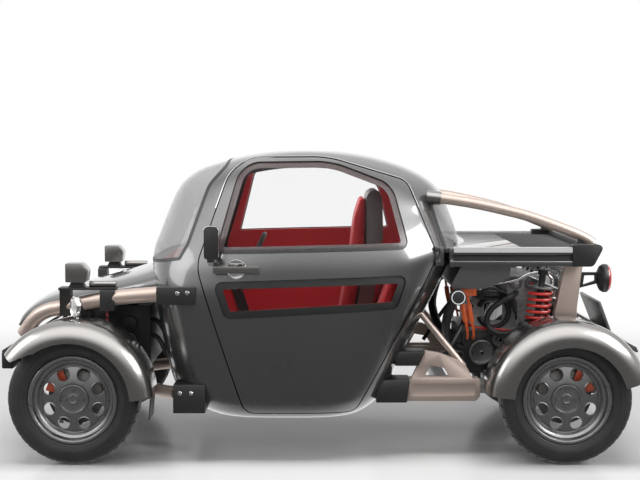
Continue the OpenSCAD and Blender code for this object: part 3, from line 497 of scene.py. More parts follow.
def moved(mesh, x=0.0, y=0.0, z=0.0, turn=None):
    """A copy of the mesh, turned about the origin and then moved."""
    made = mesh.copy()
    made.transform(Matrix.Translation((x, y, z)) @ (turn or Matrix.Identity(4)))
    return made


def bolt(radius, height, sides=6):
    """A bolt head on a washer, standing on the origin along +Z."""
    bm = bmesh.new()
    washer = 0.25 * height
    for turns, wide, low, high in ((24, 1.5 * radius, 0.0, washer), (sides, radius, washer, height)):
        bmesh.ops.create_cone(bm, cap_ends=True, segments=turns, radius1=wide, radius2=wide, depth=high - low,
                              matrix=Matrix.Translation((0.0, 0.0, (low + high) / 2)))
    return to_mesh(softened(bm, 0.12 * radius, 50.0, 1))


LEFT = Matrix.Rotation(math.radians(90.0), 4, "X")

alloy, spot, sockets = finish("polished_alloy", Metallic=0.8)
brush = spot.node("TexNoise", Vector=spot, Scale=45.0, Detail=4.0)
blend(brush, tone(0.19), tone(0.26)).feed(sockets["Base Color"])
(brush * 0.10 + 0.24).feed(sockets["Roughness"])
iron, spot, sockets = finish("cast_iron", Metallic=0.85)
rust = spot.node("TexNoise", Vector=spot, Scale=60.0, Detail=5.0)
blend(rust, tone(0.16), tone(0.34, (1.0, 0.95, 0.9))).feed(sockets["Base Color"])
(rust * 0.2 + 0.34).feed(sockets["Roughness"])

RIM = [
    (0.078, 0.060), (0.084, 0.062), (0.110, 0.056), (0.168, 0.045), (0.172, 0.040), (0.180, 0.040),
    (0.184, 0.046), (0.192, 0.056), (0.197, 0.060), (0.205, 0.062), (0.208, 0.080), (0.216, 0.090),
    (0.226, 0.092), (0.233, 0.088), (0.233, 0.082), (0.216, 0.078), (0.216, 0.060), (0.206, 0.046),
    (0.206, -0.050), (0.216, -0.064), (0.216, -0.084), (0.231, -0.088), (0.231, -0.094),
    (0.216, -0.094), (0.204, -0.086), (0.196, -0.050), (0.196, 0.020), (0.190, 0.034), (0.172, 0.034),
    (0.110, 0.044), (0.078, 0.046),
]
HUB_CAP = [
    (0.0, 0.066), (0.016, 0.066), (0.018, 0.070), (0.026, 0.070), (0.028, 0.064), (0.066, 0.064),
    (0.069, 0.074), (0.076, 0.074), (0.080, 0.070), (0.080, 0.050), (0.0, 0.050),
]
DISC = [
    (0.034, 0.046), (0.080, 0.046), (0.080, 0.008), (0.084, -0.012), (0.145, -0.012), (0.145, -0.019),
    (0.138, -0.020), (0.138, -0.026), (0.145, -0.027), (0.145, -0.034), (0.074, -0.034), (0.074, 0.0),
    (0.034, 0.0),
]
HOLES, HOLE_RING, HOLE_R = 8, 0.138, 0.032
drill = bmesh.new()
rings = bmesh.new()
ring = to_mesh(turned([(HOLE_R - 0.0005, 0.045), (HOLE_R - 0.0005, 0.0525), (HOLE_R + 0.001, 0.0535),
                       (HOLE_R + 0.004, 0.0515), (HOLE_R + 0.004, 0.045)], steps=48))
for hole in range(HOLES):
    angle = 2 * math.pi / HOLES * (hole + 0.5)
    spoke = Matrix.Rotation(angle, 4, "Y") @ Matrix.Translation((HOLE_RING, 0.0, 0.0))
    bmesh.ops.create_cone(drill, cap_ends=True, segments=48, radius1=HOLE_R, radius2=HOLE_R, depth=0.06,
                          matrix=spoke @ Matrix.Translation((0.0, -0.045, 0.0)) @ LEFT)
    lean = Matrix.Rotation(math.radians(11.0), 4, "Z")
    rings.from_mesh(moved(ring, turn=spoke @ Matrix.Translation((0.0, -0.0500, 0.0)) @ lean
                          @ Matrix.Translation((0.0, 0.0500, 0.0))))
dish = carved(to_mesh(softened(turned(RIM, steps=160), 0.0012)), "DIFFERENCE", to_mesh(drill))
nuts = [moved(bolt(0.0085, 0.011), turn=Matrix.Rotation(math.radians(90.0 * k), 4, "Y")
              @ Matrix.Translation((0.047, -0.064, 0.0)) @ LEFT) for k in range(4)]
wheel = merged(dish, to_mesh(rings), to_mesh(softened(turned(HUB_CAP, closed=False), 0.001)), *nuts)
brake_disc = to_mesh(softened(turned(DISC), 0.0008))


# Tyres: low black road tyres with a smooth sidewall, ringed by two moulded ribs, and a tread of five
# ribs with a cut shoulder.
rubber, spot, sockets = finish("tyre_rubber", Specular_IOR_Level=0.35)
dust = spot.node("TexNoise", Vector=spot, Scale=14.0, Detail=5.0)
pores = spot.node("TexNoise", Vector=spot, Scale=500.0, Detail=2.0)
blend(dust, tone(0.016), tone(0.034)).feed(sockets["Base Color"])
(dust * 0.2 + 0.45).feed(sockets["Roughness"])
pores.node("Bump", Strength=0.12, Distance=0.0005, Height=pores).feed(sockets["Normal"])
HALF_TYRE = [
    (0.2165, 0.0770), (0.2335, 0.0818), (0.2380, 0.0880), (0.2440, 0.0920), (0.2470, 0.0905),
    (0.2550, 0.0940), (0.2700, 0.0968), (0.2760, 0.0975), (0.2768, 0.0960), (0.2800, 0.0960),
    (0.2808, 0.0972), (0.2950, 0.0955), (0.3050, 0.0940), (0.3120, 0.0920), (0.3270, 0.0855),
    (0.3350, 0.0780), (0.3395, 0.0690), (0.3425, 0.0600), (0.3430, 0.0520), (0.3370, 0.0510),
    (0.3370, 0.0450), (0.3440, 0.0440), (0.3448, 0.0210), (0.3380, 0.0200), (0.3380, 0.0130),
    (0.3450, 0.0120),
]
inside = [(0.331, 0.0), (0.327, 0.070), (0.305, 0.084), (0.236, 0.076), (0.2165, 0.064)]
bm = turned(HALF_TYRE + [(r, -o) for r, o in reversed(HALF_TYRE)] + [(r, -o) for r, o in reversed(inside)]
            + inside[1:], steps=150)
LUG_TURN, LUG_EVERY, LUG_DEPTH = 2.4, 4, 0.005
shoulder = []
for face in bm.faces:
    middle = face.calc_center_median()
    lug = round(math.degrees(math.atan2(middle.z, middle.x)) / LUG_TURN + 300.5)
    if 0.055 < abs(middle.y) < 0.083 and math.hypot(middle.x, middle.z) > 0.330 and lug % LUG_EVERY == 0:
        shoulder.append(face)
bmesh.ops.inset_region(bm, faces=shoulder, thickness=0.0004, depth=-LUG_DEPTH)
tyre = to_mesh(bm)

CORNERS = (("fl", -WHEEL_X, "left"), ("fr", -WHEEL_X, "right"),
           ("rl", WHEEL_X, "left"), ("rr", WHEEL_X, "right"))
for name, x, side in CORNERS:
    rim = f"rim_{name}"
    for shape, made, tag, stands in ((wheel, alloy, "wheel", (rim,)), (brake_disc, iron, "disc", ()),
                                     (tyre, rubber, "tyre", (f"tyre_{name}",))):
        placed = sided(moved(shape, x, -WHEEL_Y, AXLE), side)
        piece(f"{tag}_{name}_turned", placed, f"wheel_{name}", made, stands_for=stands, slot=rim)


# Fenders: pressed sheet turned about each axle, in a warm silver, with a rolled inner lip. A cross
# wing joins each pair and carries the bumper in front.
silver, spot, sockets = finish("warm_silver", Metallic=0.92, Coat_Weight=0.6, Coat_Roughness=0.06)
flake = spot.node("TexNoise", Vector=spot, Scale=800.0, Detail=1.0)
blend(flake, tone(0.24, (1.0, 0.965, 0.93)), tone(0.26, (1.0, 0.965, 0.93))).feed(sockets["Base Color"])
haze = spot.node("TexNoise", Vector=spot, Scale=3.0, Detail=2.0)
(haze * 0.06 + 0.19).feed(sockets["Roughness"])
FENDER_OUT, FENDER_ROUND, FENDER_T, FENDER_IN, CROWN = 0.200, 0.100, 0.005, -0.145, 0.424


def fender(start, sweep, skirt):
    """The sheet of one left fender about the origin."""
    arc = [math.radians(90.0 - 7.5 * k) for k in range(13)]
    top, side = CROWN - FENDER_ROUND, FENDER_OUT - FENDER_ROUND
    outer = [(skirt, FENDER_OUT)] + [
        (top + FENDER_ROUND * math.cos(a), side + FENDER_ROUND * math.sin(a))
        for a in arc] + [(CROWN - 0.012, FENDER_IN), (CROWN - 0.034, FENDER_IN)]
    near, lip = FENDER_ROUND - FENDER_T, FENDER_IN + FENDER_T
    inner = [(CROWN - 0.034, lip), (CROWN - 0.012 - FENDER_T, lip)] + [
        (top + near * math.cos(a), side + near * math.sin(a))
        for a in reversed(arc)] + [(skirt, FENDER_OUT - FENDER_T)]
    return to_mesh(turned(outer + inner, sweep, 96, start))


def wing(outline):
    """A cross wing between the two fenders."""
    made = prism([(x, z, 0.004) for x, z in outline], -0.558, 0.558)
    bm = bmesh.new()
    bm.from_mesh(made)
    return to_mesh(softened(bm, 0.002, 40.0))


FX, RX = -WHEEL_X, WHEEL_X
front = moved(fender(3.0, 141.0, 0.314), FX, -WHEEL_Y, AXLE)
front = carved(front, "DIFFERENCE", prism([
    (FX - 0.128, 0.632, 0.06), (FX - 0.128, 0.300, 0.001), (FX - 0.500, 0.300, 0.001),
    (FX - 0.500, 0.490, 0.001), (FX - 0.310, 0.556, 0.05)], -1.0, -WHEEL_Y - 0.100))
front_wing = wing([(FX - 0.215, 0.678), (FX - 0.225, 0.690), (FX - 0.330, 0.626), (FX - 0.418, 0.572),
                   (FX - 0.424, 0.560), (FX - 0.412, 0.562), (FX - 0.326, 0.614)])
flap = prism([(-0.882, 0.260, 0.002), (-0.876, 0.260, 0.002), (-0.868, 0.370, 0.001), (-0.874, 0.370, 0.001)],
             -0.880, -0.715)
piece("mud_flaps", merged(flap, mirrored(flap)), "chassis", soft_black, slot="front_fenders")
piece("front_fenders_sheet", merged(front, mirrored(front), front_wing), "chassis", silver,
      stands_for=("front_fenders",))
rear = moved(fender(16.0, 159.0, 0.292), RX, -WHEEL_Y, AXLE)
rear_wing = wing([(RX + 0.170, 0.706), (RX + 0.182, 0.716), (RX + 0.300, 0.646), (RX + 0.412, 0.588),
                  (RX + 0.424, 0.560), (RX + 0.408, 0.558), (RX + 0.400, 0.580), (RX + 0.292, 0.634)])
piece("rear_fenders_sheet", merged(rear, mirrored(rear), rear_wing), "chassis", silver,
      stands_for=("rear_fenders",))


# Hood: one pressed shell from the cowl down to the nose, painted as the cabin. It is crowned across
# its width, follows a smooth side line and is trimmed against the cabin.
HOOD = [
    (-0.800, 0.585, 0.905, 1.052), (-0.935, 0.565, 0.892, 1.002), (-1.050, 0.520, 0.872, 0.966),
    (-1.200, 0.470, 0.846, 0.924), (-1.350, 0.425, 0.812, 0.886), (-1.500, 0.385, 0.772, 0.846),
    (-1.590, 0.350, 0.740, 0.804), (-1.655, 0.305, 0.704, 0.748), (-1.695, 0.240, 0.660, 0.690),
]
bm = bmesh.new()
bmesh.ops.create_grid(bm, x_segments=56, y_segments=48, size=1.0)
for vert in bm.verts:
    x, half, edge, crest = spline(HOOD, (vert.co.x + 1.0) / 2 * (len(HOOD) - 1))
    angle = (vert.co.y + 1.0) / 2 * math.pi
    vert.co = (x, half * power(math.cos(angle), 0.8), edge + (crest - edge) * power(math.sin(angle), 0.6))
bmesh.ops.recalc_face_normals(bm, faces=bm.faces)
if sum(face.normal.z for face in bm.faces) < 0:
    bmesh.ops.reverse_faces(bm, faces=bm.faces)
bmesh.ops.solidify(bm, geom=bm.faces[:], thickness=0.014)
bmesh.ops.recalc_face_normals(bm, faces=bm.faces)
bm_solid = bmesh.new()
bm_solid.from_mesh(capsule)
bmesh.ops.scale(bm_solid, vec=(1.0005, 1.0005, 1.0005), verts=bm_solid.verts,
                space=Matrix.Translation(-CABIN_MID))
hood = carved(to_mesh(bm), "DIFFERENCE", to_mesh(bm_solid))
piece("hood_shell", hood, "chassis", paint, stands_for=("hood",))


# Tube frame: bent alloy tubes in champagne, two over the front wheels, two low ones under the cabin
# and two bars from the roof down to the tail of the deck.
champagne, spot, sockets = finish("champagne_tube", Metallic=0.6)
flake = spot.node("TexNoise", Vector=spot, Scale=700.0, Detail=1.0)
blend(flake, tone(0.40, (1.0, 0.80, 0.70)), tone(0.50, (1.0, 0.82, 0.73))).feed(sockets["Base Color"])
haze = spot.node("TexNoise", Vector=spot, Scale=5.0, Detail=3.0)
(haze * 0.08 + 0.36).feed(sockets["Roughness"])


def pipe(points, radius, fine=8, sides=6):
    """A round tube along a smooth curve through the points."""
    bent = bpy.data.curves.new("pipe", "CURVE")
    bent.dimensions, bent.bevel_depth, bent.bevel_resolution = "3D", radius, sides
    bent.use_fill_caps, bent.resolution_u = True, fine
    line = bent.splines.new("BEZIER")
    line.bezier_points.add(len(points) - 1)
    for knot, point in zip(line.bezier_points, points):
        knot.co = point
        knot.handle_left_type = knot.handle_right_type = "AUTO"
    drawn = bpy.data.objects.new("pipe", bent)
    bpy.context.scene.collection.objects.link(drawn)
    made = bpy.data.meshes.new_from_object(drawn.evaluated_get(bpy.context.evaluated_depsgraph_get()))
    bpy.data.objects.remove(drawn)
    bm = bmesh.new()
    bm.from_mesh(made)
    bmesh.ops.remove_doubles(bm, verts=bm.verts, dist=1e-6)
    bmesh.ops.recalc_face_normals(bm, faces=bm.faces)
    return to_mesh(bm)


def pair(*meshes):
    """The left shapes with their mirror images."""
    left = merged(*meshes)
    return merged(left, mirrored(left))


RAIL = [(-0.846, -0.700, 0.892), (FX + 0.290, -0.664, 0.876), (FX + 0.146, -0.625, 0.856),
        (FX - 0.085, -0.572, 0.806), (FX - 0.175, -0.550, 0.784), (FX - 0.240, -0.530, 0.744),
        (FX - 0.290, -0.512, 0.682), (FX - 0.312, -0.502, 0.650)]
LOW_RAIL = [(-0.770, -0.590, 0.344), (-0.860, -0.500, 0.340), (-0.940, -0.400, 0.335), (FX, -0.376, 0.330),
            (FX - 0.355, -0.376, 0.503)]
BAR = [(0.640, -0.500, 1.388), (0.820, -0.504, 1.360), (0.988, -0.512, 1.324), (1.120, -0.520, 1.290),
       (1.230, -0.530, 1.252), (1.330, -0.540, 1.214), (1.400, -0.546, 1.184), (1.442, -0.550, 1.160),
       (1.455, -0.550, 1.149)]
piece("front_rail_tubes", pair(pipe(RAIL, 0.040)), "chassis", champagne, stands_for=("front_rails",))
cross = [pipe([(x, -0.376, z), (x, 0.0, z), (x, 0.376, z)], 0.022)
         for x, z in ((FX - 0.2, 0.398), (FX + 0.25, 0.332))]
piece("lower_rail_tubes", merged(pair(pipe(LOW_RAIL, 0.035)), *cross), "chassis", champagne,
      stands_for=("lower_rails",))
piece("roof_bar_tubes", pair(pipe(BAR, 0.028)), "chassis", champagne, stands_for=("roof_bars",))
sleeve = pipe([(0.575, -0.492, 1.394), (0.612, -0.496, 1.390), (0.650, -0.5005, 1.386)], 0.036)
sleeve = carved(sleeve, "DIFFERENCE", capsule.copy())
piece("roof_bar_sleeves", pair(sleeve), "chassis", silver, slot="roof_bars")


# Frame joints: the machined blocks, beams, posts and rails of the frame keep their solid shapes, with
# broken edges, and are painted to match the tubes or left black. Bolts hold the clamps, and a bright
# strip is let into each deck rail.
def dressed(node, *finishes, body="chassis", width=0.0015, above=40.0, where=None):
    """A CAD solid with its triangles merged and its edges rounded; where() picks the finish by place."""
    bm = bmesh.new()
    bm.from_mesh(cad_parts[node].data)
    bmesh.ops.remove_doubles(bm, verts=bm.verts, dist=1e-5)
    bmesh.ops.dissolve_limit(bm, angle_limit=math.radians(1.0), verts=bm.verts, edges=bm.edges)
    softened(bm, width, above)
    for face in bm.faces:
        face.material_index = int(where(face.calc_center_median())) if where else 0
    return piece(node + "_finish", bm, body, *finishes, stands_for=(node,))


bright, spot, sockets = finish("bright_strip", Metallic=0.5, Base_Color=tone(0.58))
brush = spot.node("TexNoise", Vector=spot, Scale=12.0, Detail=1.0)
(brush * 0.04 + 0.42).feed(sockets["Roughness"])
for node in ("rear_beams", "rear_posts"):
    dressed(node, champagne, width=0.004)
dressed("deck_rails", paint, width=0.004)
for node, width in (("body_clamps", 0.012), ("front_bumper", 0.006), ("deck_cap", 0.012)):
    dressed(node, black_trim, width=width)
heads = [moved(bolt(0.0075, 0.008), x, y, z, LEFT) for x, y, z in (
    (-0.738, -0.800, 0.905), (-0.687, -0.800, 0.908), (-0.732, -0.770, 0.377), (-0.674, -0.770, 0.377))]
piece("clamp_bolts", pair(*heads), "chassis", chrome, slot="body_clamps")
cover = prism([(0.705, 1.1070, 0.001), (1.328, 1.1070, 0.001), (1.328, 1.1340, 0.002),
               (0.705, 1.1340, 0.002)], -0.6695, -0.636)
slot_floor = slab(0.705, 1.326, 1.0630, 1.0930, -0.657, -0.6545)
foot = prism([(1.366, 1.1485, 0.002), (1.462, 1.1485, 0.002), (1.452, 1.172, 0.004), (1.400, 1.186, 0.004)],
             -0.568, -0.530)
piece("rail_covers", pair(cover), "chassis", bright, slot="deck_rails")
piece("rail_slots", pair(slot_floor), "chassis", soft_black, slot="deck_rails")
piece("bar_feet", pair(foot), "chassis", black_trim, slot="roof_bars")


# Running gear: forged arms, hub carriers and dampers in bare steel and black, with red springs wound
# round the dampers and red calipers over the brake discs, all open to view.
steel, spot, sockets = finish("bare_steel", Metallic=0.65)
cast = spot.node("TexNoise", Vector=spot, Scale=55.0, Detail=5.0)
blend(cast, tone(0.16), tone(0.50)).feed(sockets["Base Color"])
(cast * 0.25 + 0.28).feed(sockets["Roughness"])
cast.node("Bump", Strength=0.1, Distance=0.001, Height=cast).feed(sockets["Normal"])
spring_red, spot, sockets = finish("spring_red", Base_Color=tone(1.0, (0.62, 0.020, 0.012)), Coat_Weight=0.6)
coat = spot.node("TexNoise", Vector=spot, Scale=80.0, Detail=2.0)
(coat * 0.1 + 0.28).feed(sockets["Roughness"])
caliper_red, spot, sockets = finish("caliper_red", Base_Color=tone(1.0, (0.60, 0.090, 0.035)))
coat = spot.node("TexNoise", Vector=spot, Scale=90.0, Detail=3.0)
(coat * 0.2 + 0.30).feed(sockets["Roughness"])

dressed("front_suspension", steel)
dressed("rear_subframe", steel)
dressed("knuckle_fl", steel, body="knuckle_fl")
dressed("knuckle_fr", steel, body="knuckle_fr")
dressed("front_struts", black_trim)
dressed("rear_struts", black_trim, alloy, where=lambda spot: 0.885 < spot.z < 0.915)


WIRE, COIL_STEPS = 0.0085, 16


def coil(foot, head, low, height, turns=5.0, radius=0.059):
    """A spring about the line from foot to head."""
    start, line = Vector(foot), (Vector(head) - Vector(foot)).normalized()
    turn = line.to_track_quat("Z", "Y").to_matrix()
    count = int(turns * COIL_STEPS)
    way = [(math.tau * k / COIL_STEPS, low + height * k / count) for k in range(count + 1)]
    return pipe([start + turn @ Vector((radius * math.cos(angle), radius * math.sin(angle), climb))
                 for angle, climb in way], WIRE, 3, 4)


WIRE_SEAT = WIRE * math.cos(math.radians(30.0))
FRONT_STRUT = ((FX + 0.026, -0.490, 0.212), (FX + 0.026, -0.490, 0.742), 0.318 + WIRE_SEAT, 0.150)
REAR_STRUT = ((RX - 0.150, -0.480, 0.390), (RX - 0.080, -0.480, 1.000), 0.330 + WIRE_SEAT, 0.165)
piece("front_springs", pair(coil(*FRONT_STRUT)), "chassis", spring_red, stands_for=("front_coils",))
piece("rear_springs", pair(coil(*REAR_STRUT)), "chassis", spring_red, stands_for=("rear_coils",))

CALIPER = [(0.095, -0.059), (0.159, -0.059), (0.159, 0.015), (0.099, 0.015), (0.099, 0.013), (0.1585, 0.013),
           (0.1585, -0.0575), (0.095, -0.0575)]
for name, x, side in CORNERS:
    front_wheel = name[0] == "f"
    carrier = f"knuckle_{name}" if front_wheel else "rear_subframe"
    shape = to_mesh(turned(CALIPER, 52.0, 24, 114.0 if front_wheel else 14.0))
    piece(f"caliper_{name}", sided(moved(shape, x, -WHEEL_Y, AXLE), side),
          carrier if front_wheel else "chassis", caliper_red, slot=carrier)


# Engine and its ancillaries: cast blocks, a bank of bent intake pipes, belt pulleys, hoses and orange
# high voltage leads under the deck.
orange, spot, sockets = finish("orange_lead", Base_Color=tone(1.0, (0.72, 0.115, 0.022)))
braid = spot.node("TexNoise", Vector=spot, Scale=260.0, Detail=2.0)
(braid * 0.2 + 0.40).feed(sockets["Roughness"])
hose_black, spot, sockets = finish("hose_black", Base_Color=tone(0.014))
braid = spot.node("TexVoronoi", Vector=spot, Scale=300.0)
(braid * 0.2 + 0.42).feed(sockets["Roughness"])
tank_grey, spot, sockets = finish("tank_grey", Metallic=0.6, Base_Color=tone(0.15))
coat = spot.node("TexNoise", Vector=spot, Scale=30.0, Detail=3.0)
(coat * 0.15 + 0.26).feed(sockets["Roughness"])
enamel, spot, sockets = finish("white_enamel", Base_Color=tone(0.80))
coat = spot.node("TexNoise", Vector=spot, Scale=40.0, Detail=2.0)
(coat * 0.1 + 0.3).feed(sockets["Roughness"])
for node, made in (("intake_pipes", chrome), ("engine_hoses", hose_black), ("hv_cables", orange),
                   ("fuel_tank", tank_grey), ("deck_panel", paint), ("deck_grille", black_trim)):
    dressed(node, made)
dressed("engine_block", steel, black_trim, where=lambda spot: spot.z < 0.6395 or spot.x < 0.8495)
dressed("power_pack", black_trim)
lines = [pipe([(-0.952, -0.250 - d, 0.700 - 3 * d), (-0.895, -0.330 - d, 0.690 - 3 * d),
               (-0.840, -0.360 - d, 0.600 - 3 * d), (-0.800, -0.345, 0.520 - 2 * d),
               (-0.745, -0.300 + d, 0.475)], 0.013) for d in (0.0, 0.028)]
piece("pack_hoses", pair(*lines), "chassis", hose_black, slot="power_pack")
dressed("belt_drive", black_trim, alloy,
        where=lambda spot: spot.y < -0.3215 or (spot.z > 0.7 and spot.y < -0.2715))
ring = turned([(0.032, 0.0), (0.037, 0.0), (0.037, 0.003), (0.032, 0.003)], steps=64)
ring = moved(to_mesh(softened(ring, 0.001)), 0.735, -0.622, 0.8627)
piece("filler_rings", pair(ring), "chassis", enamel, slot="engine_hoses")
coolant = pipe([(0.845, -0.300, 0.780), (0.800, -0.380, 0.720), (0.755, -0.440, 0.650),
                (0.700, -0.470, 0.560), (0.640, -0.470, 0.470)], 0.012)
piece("coolant_hoses", pair(coolant), "chassis", hose_black, slot="engine_hoses")
cooling = pipe([(0.870, -0.255, 0.850), (0.930, -0.335, 0.895), (1.080, -0.335, 0.925),
                (1.200, -0.310, 0.965), (1.290, -0.300, 0.930), (1.290, -0.300, 0.880)], 0.008)
piece("cooling_lines", pair(cooling), "chassis", chrome, slot="engine_block")
loom = [pipe([(0.800 + d, -0.420 + d, 0.890), (0.860, -0.370 + d, 0.866 - d),
              (0.950, -0.345 + d / 2, 0.880 - 2 * d), (1.030, -0.330 + d, 0.850 - d),
              (1.090, -0.290, 0.800 - 2 * d), (1.100, -0.255, 0.760 - 2 * d)], 0.007)
        for d in (0.0, 0.010, 0.020, 0.030)]
piece("wire_loom", pair(*loom), "chassis", hose_black, slot="engine_hoses")
boots = [pipe([(0.779 + d, -0.436, 0.806), (0.786 + d, -0.440, 0.760), (0.797 + d, -0.433, 0.710)], 0.0145)
         for d in (0.0, 0.034)]
piece("cable_boots", pair(*boots), "chassis", orange, slot="hv_cables")
cover = slab(0.920, 1.020, 0.695, 0.790, -0.262, -0.249, 0.012)
fins = [prism([(x, 0.706, 0.002), (x + 0.010, 0.706, 0.002), (x + 0.016, 0.780, 0.002),
               (x + 0.006, 0.780, 0.002)], -0.272, -0.258)
        for x in (0.930, 0.948, 0.966, 0.984)]
piece("valve_covers", pair(cover, *fins), "chassis", chrome, slot="engine_block")
link = pipe([(1.170, -0.262, 0.935), (1.245, -0.350, 0.905), (1.312, -0.437, 0.878)], 0.011)
piece("engine_links", pair(link), "chassis", chrome, slot="engine_block")
loop = pipe([(1.100, -0.245, 0.845), (1.060, -0.330, 0.835), (0.990, -0.372, 0.805), (0.935, -0.376, 0.755),
             (0.922, -0.374, 0.690), (0.960, -0.372, 0.645), (1.040, -0.360, 0.632), (1.110, -0.320, 0.650),
             (1.130, -0.240, 0.670)], 0.016)
piece("breather_hoses", pair(loop), "chassis", hose_black, slot="engine_hoses")
fuel_line = pipe([(0.790, -0.298, 0.700), (0.850, -0.330, 0.668), (0.960, -0.336, 0.655),
                  (1.060, -0.330, 0.640), (1.110, -0.290, 0.610)], 0.007)
piece("fuel_lines", pair(fuel_line), "chassis", spring_red, slot="engine_block")
BELT_RUN = ((0.900, 0.520, 0.070), (1.040, 0.470, 0.048), (1.000, 0.590, 0.040))
rims = [(x + r * math.cos(math.tau * k / 32), z + r * math.sin(math.tau * k / 32))
        for x, z, r in BELT_RUN for k in range(32)]
hull = [rims[k] for k in convex_hull_2d(rims)]
belt = pipe([(x, -0.3125, z) for x, z in hull + hull[:1]], 0.0045, 2, 4)
piece("drive_belts", belt, "chassis", hose_black, slot="belt_drive")
heads = [moved(bolt(0.009, 0.010), x, y, z, LEFT) for x, y, z in (
    (0.900, -0.322, 0.520), (1.040, -0.322, 0.470), (1.000, -0.322, 0.590), (1.097, -0.272, 0.905),
    (1.180, -0.272, 0.900), (1.250, -0.272, 0.860))]
piece("pulley_bolts", merged(*heads), "chassis", chrome, slot="belt_drive")


# Lamps, mirrors and small fittings: moulded housings with clear or red lenses in bright rims, cast
# door pulls over round bowls, and a blank plate riveted to its board.
clear_lens, spot, sockets = finish("clear_lens", Base_Color=tone(0.55), Coat_Weight=1.0, Coat_Roughness=0.02)
ribs = spot.node("TexWave", {"bands_direction": "Y"}, Vector=spot, Scale=60.0)
(ribs * 0.1 + 0.08).feed(sockets["Roughness"])
ribs.node("Bump", Strength=0.3, Distance=0.001, Height=ribs).feed(sockets["Normal"])
red_lens, spot, sockets = finish("red_lens", Base_Color=tone(1.0, (0.45, 0.010, 0.012)), Coat_Weight=1.0)
beads = spot.node("TexVoronoi", Vector=spot, Scale=110.0)
(beads * 0.15 + 0.10).feed(sockets["Roughness"])
beads.node("Bump", Strength=0.3, Distance=0.001, Height=beads).feed(sockets["Normal"])

POD = Vector((FX + 0.024, -0.740, 0.8301))
POD_WAY = Vector((-math.sin(math.radians(62.0)), -math.cos(math.radians(62.0)), 0.0))
POD_FACE, POD_R = 0.0165, 0.046


def on_lens(spot):
    """Whether a place is on the lens of a fender lamp."""
    reach = Vector((spot.x, -abs(spot.y), spot.z)) - POD
    return reach.dot(POD_WAY) > POD_FACE and reach.cross(POD_WAY).length < POD_R


dressed("fender_lamps", chrome, clear_lens, where=on_lens)
dressed("tail_lamps", black_trim, chrome, red_lens, width=0.004,
        where=lambda spot: (spot.x > 1.540) + (spot.x > 1.547))
dressed("plate_board", tank_grey)
plate = prism([(1.5856, 0.7680, 0.001), (1.6272, 0.6554, 0.001), (1.6305, 0.6566, 0.001),
               (1.5889, 0.7692, 0.001)], -0.17, 0.17)
piece("blank_plate", plate, "chassis", enamel, slot="plate_board")
dressed("front_lamps", black_trim, silver, clear_lens, width=0.004,
        where=lambda spot: (spot.z > 0.942 or (spot.z > 0.919 and spot.x > -1.228))
        + (spot.z > 0.950 and spot.x < -1.342))
for side in ("left", "right"):
    dressed(f"door_fittings_{side}", chrome, silver, paint, body=f"door_{side}", width=0.005,
            where=lambda spot: 2 * (spot.x > 0.4) + (spot.x < 0.4 and abs(spot.y) > 0.812))
    dressed(f"mirror_{side}", black_trim, chrome, body=f"door_{side}", width=0.010,
            where=lambda spot: spot.z > 1.240 or spot.z < 1.086 or spot.x > -0.521)
dressed("door_hinges", paint)


# Seats: one for the driver in the middle and two behind it. Red leather pads are puffed out between
# stitched seams, and the driver's back is set in a moulded grey shell.
VOXEL, SEAM, PRESSURE, MOMENTS, MOST_PUFF = 0.006, 0.0035, 4.0, 20, 0.010


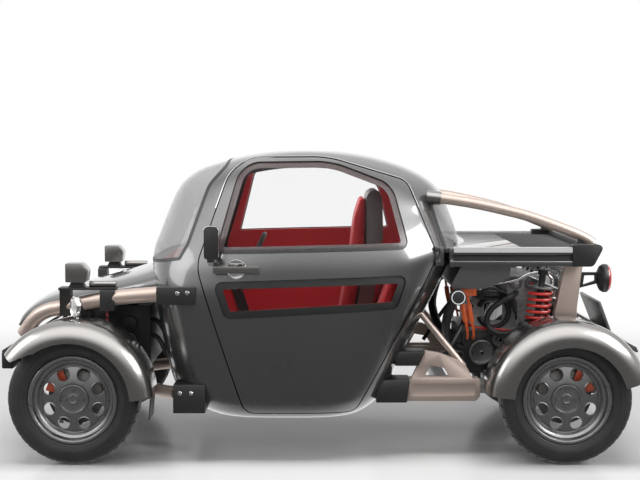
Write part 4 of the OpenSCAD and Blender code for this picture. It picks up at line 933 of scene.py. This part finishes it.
def pad(outline, half_width, seams):
    """A leather pad, blown up between pinned seams at the given offsets from its middle."""
    bm = bmesh.new()
    bm.from_mesh(prism([(x, z, 0.015) for x, z in outline], -half_width, half_width))
    raw = bpy.data.objects.new("pad", to_mesh(softened(bm, 0.025, 40.0, 3)))
    bpy.context.scene.collection.objects.link(raw)
    grid = raw.modifiers.new("grid", "REMESH")
    grid.mode, grid.voxel_size = "VOXEL", VOXEL
    raw.data = bpy.data.meshes.new_from_object(raw.evaluated_get(bpy.context.evaluated_depsgraph_get()))
    raw.modifiers.clear()
    rest = [vert.co.copy() for vert in raw.data.vertices]
    held = [k for k, spot in enumerate(rest) if any(abs(abs(spot.y) - seam) < SEAM for seam in seams)]
    raw.vertex_groups.new(name="seams").add(held, 1.0, "REPLACE")
    cloth = raw.modifiers.new("leather", "CLOTH")
    cloth.settings.use_pressure, cloth.settings.uniform_pressure_force = True, PRESSURE
    cloth.settings.effector_weights.gravity = 0.0
    cloth.settings.vertex_group_mass = "seams"
    cloth.point_cache.frame_start, cloth.point_cache.frame_end = 1, MOMENTS
    for moment in range(1, MOMENTS + 1):
        bpy.context.scene.frame_set(moment)
    shape = bpy.data.meshes.new_from_object(raw.evaluated_get(bpy.context.evaluated_depsgraph_get()))
    bpy.context.scene.frame_set(1)
    bpy.data.objects.remove(raw)
    for vert, spot in zip(shape.vertices, rest):
        step = vert.co - spot
        vert.co = spot + step * min(1.0, MOST_PUFF / max(step.length, 1e-9))
    return shape


seat_base = pad([(-0.245, 0.310), (-0.245, 0.490), (0.155, 0.505), (0.155, 0.310)], 0.215, (0.0, 0.13))
seat_back = pad([(0.080, 0.535), (0.160, 0.535), (0.250, 1.090), (0.256, 1.380), (0.228, 1.370),
                 (0.196, 1.270), (0.178, 1.060)], 0.165, (0.0, 0.10))
rear_base = pad([(0.035, 0.415), (0.035, 0.505), (0.245, 0.505), (0.245, 0.415)], 0.138, (0.0,))
rear_back = pad([(0.236, 0.535), (0.262, 0.535), (0.432, 0.965), (0.384, 0.965)], 0.138, (0.0,))
for name, shape, middle, stands in (
    ("seat_base", seat_base, 0.0, ("driver_seat",)), ("seat_back", seat_back, 0.0, ()),
    ("rear_base_left", rear_base, -0.4325, ("rear_seats",)), ("rear_base_right", rear_base, 0.4325, ()),
    ("rear_back_left", rear_back, -0.4325, ()), ("rear_back_right", rear_back, 0.4325, ()),
):
    made = piece(name, moved(shape, 0.0, middle, 0.0), "chassis", red_trim, stands_for=stands,
                 slot="driver_seat" if name.startswith("seat") else "rear_seats", crease=60.0)
bm = bmesh.new()
bm.from_mesh(prism([(0.172, 0.530, 0.02), (0.262, 1.090, 0.20), (0.262, 1.420, 0.05), (0.350, 1.420, 0.07),
                    (0.355, 1.150, 0.20), (0.262, 0.530, 0.02)], -0.205, 0.205))
piece("seat_shell", softened(bm, 0.040, 40.0, 6), "chassis", tank_grey, slot="driver_seat")


# Dash and steering wheel: a leather covered beam across the cabin under the windscreen, and a thick
# rimmed wheel on its column in the middle.
dressed("dashboard", red_trim, width=0.012)
dressed("steering_wheel", black_trim)
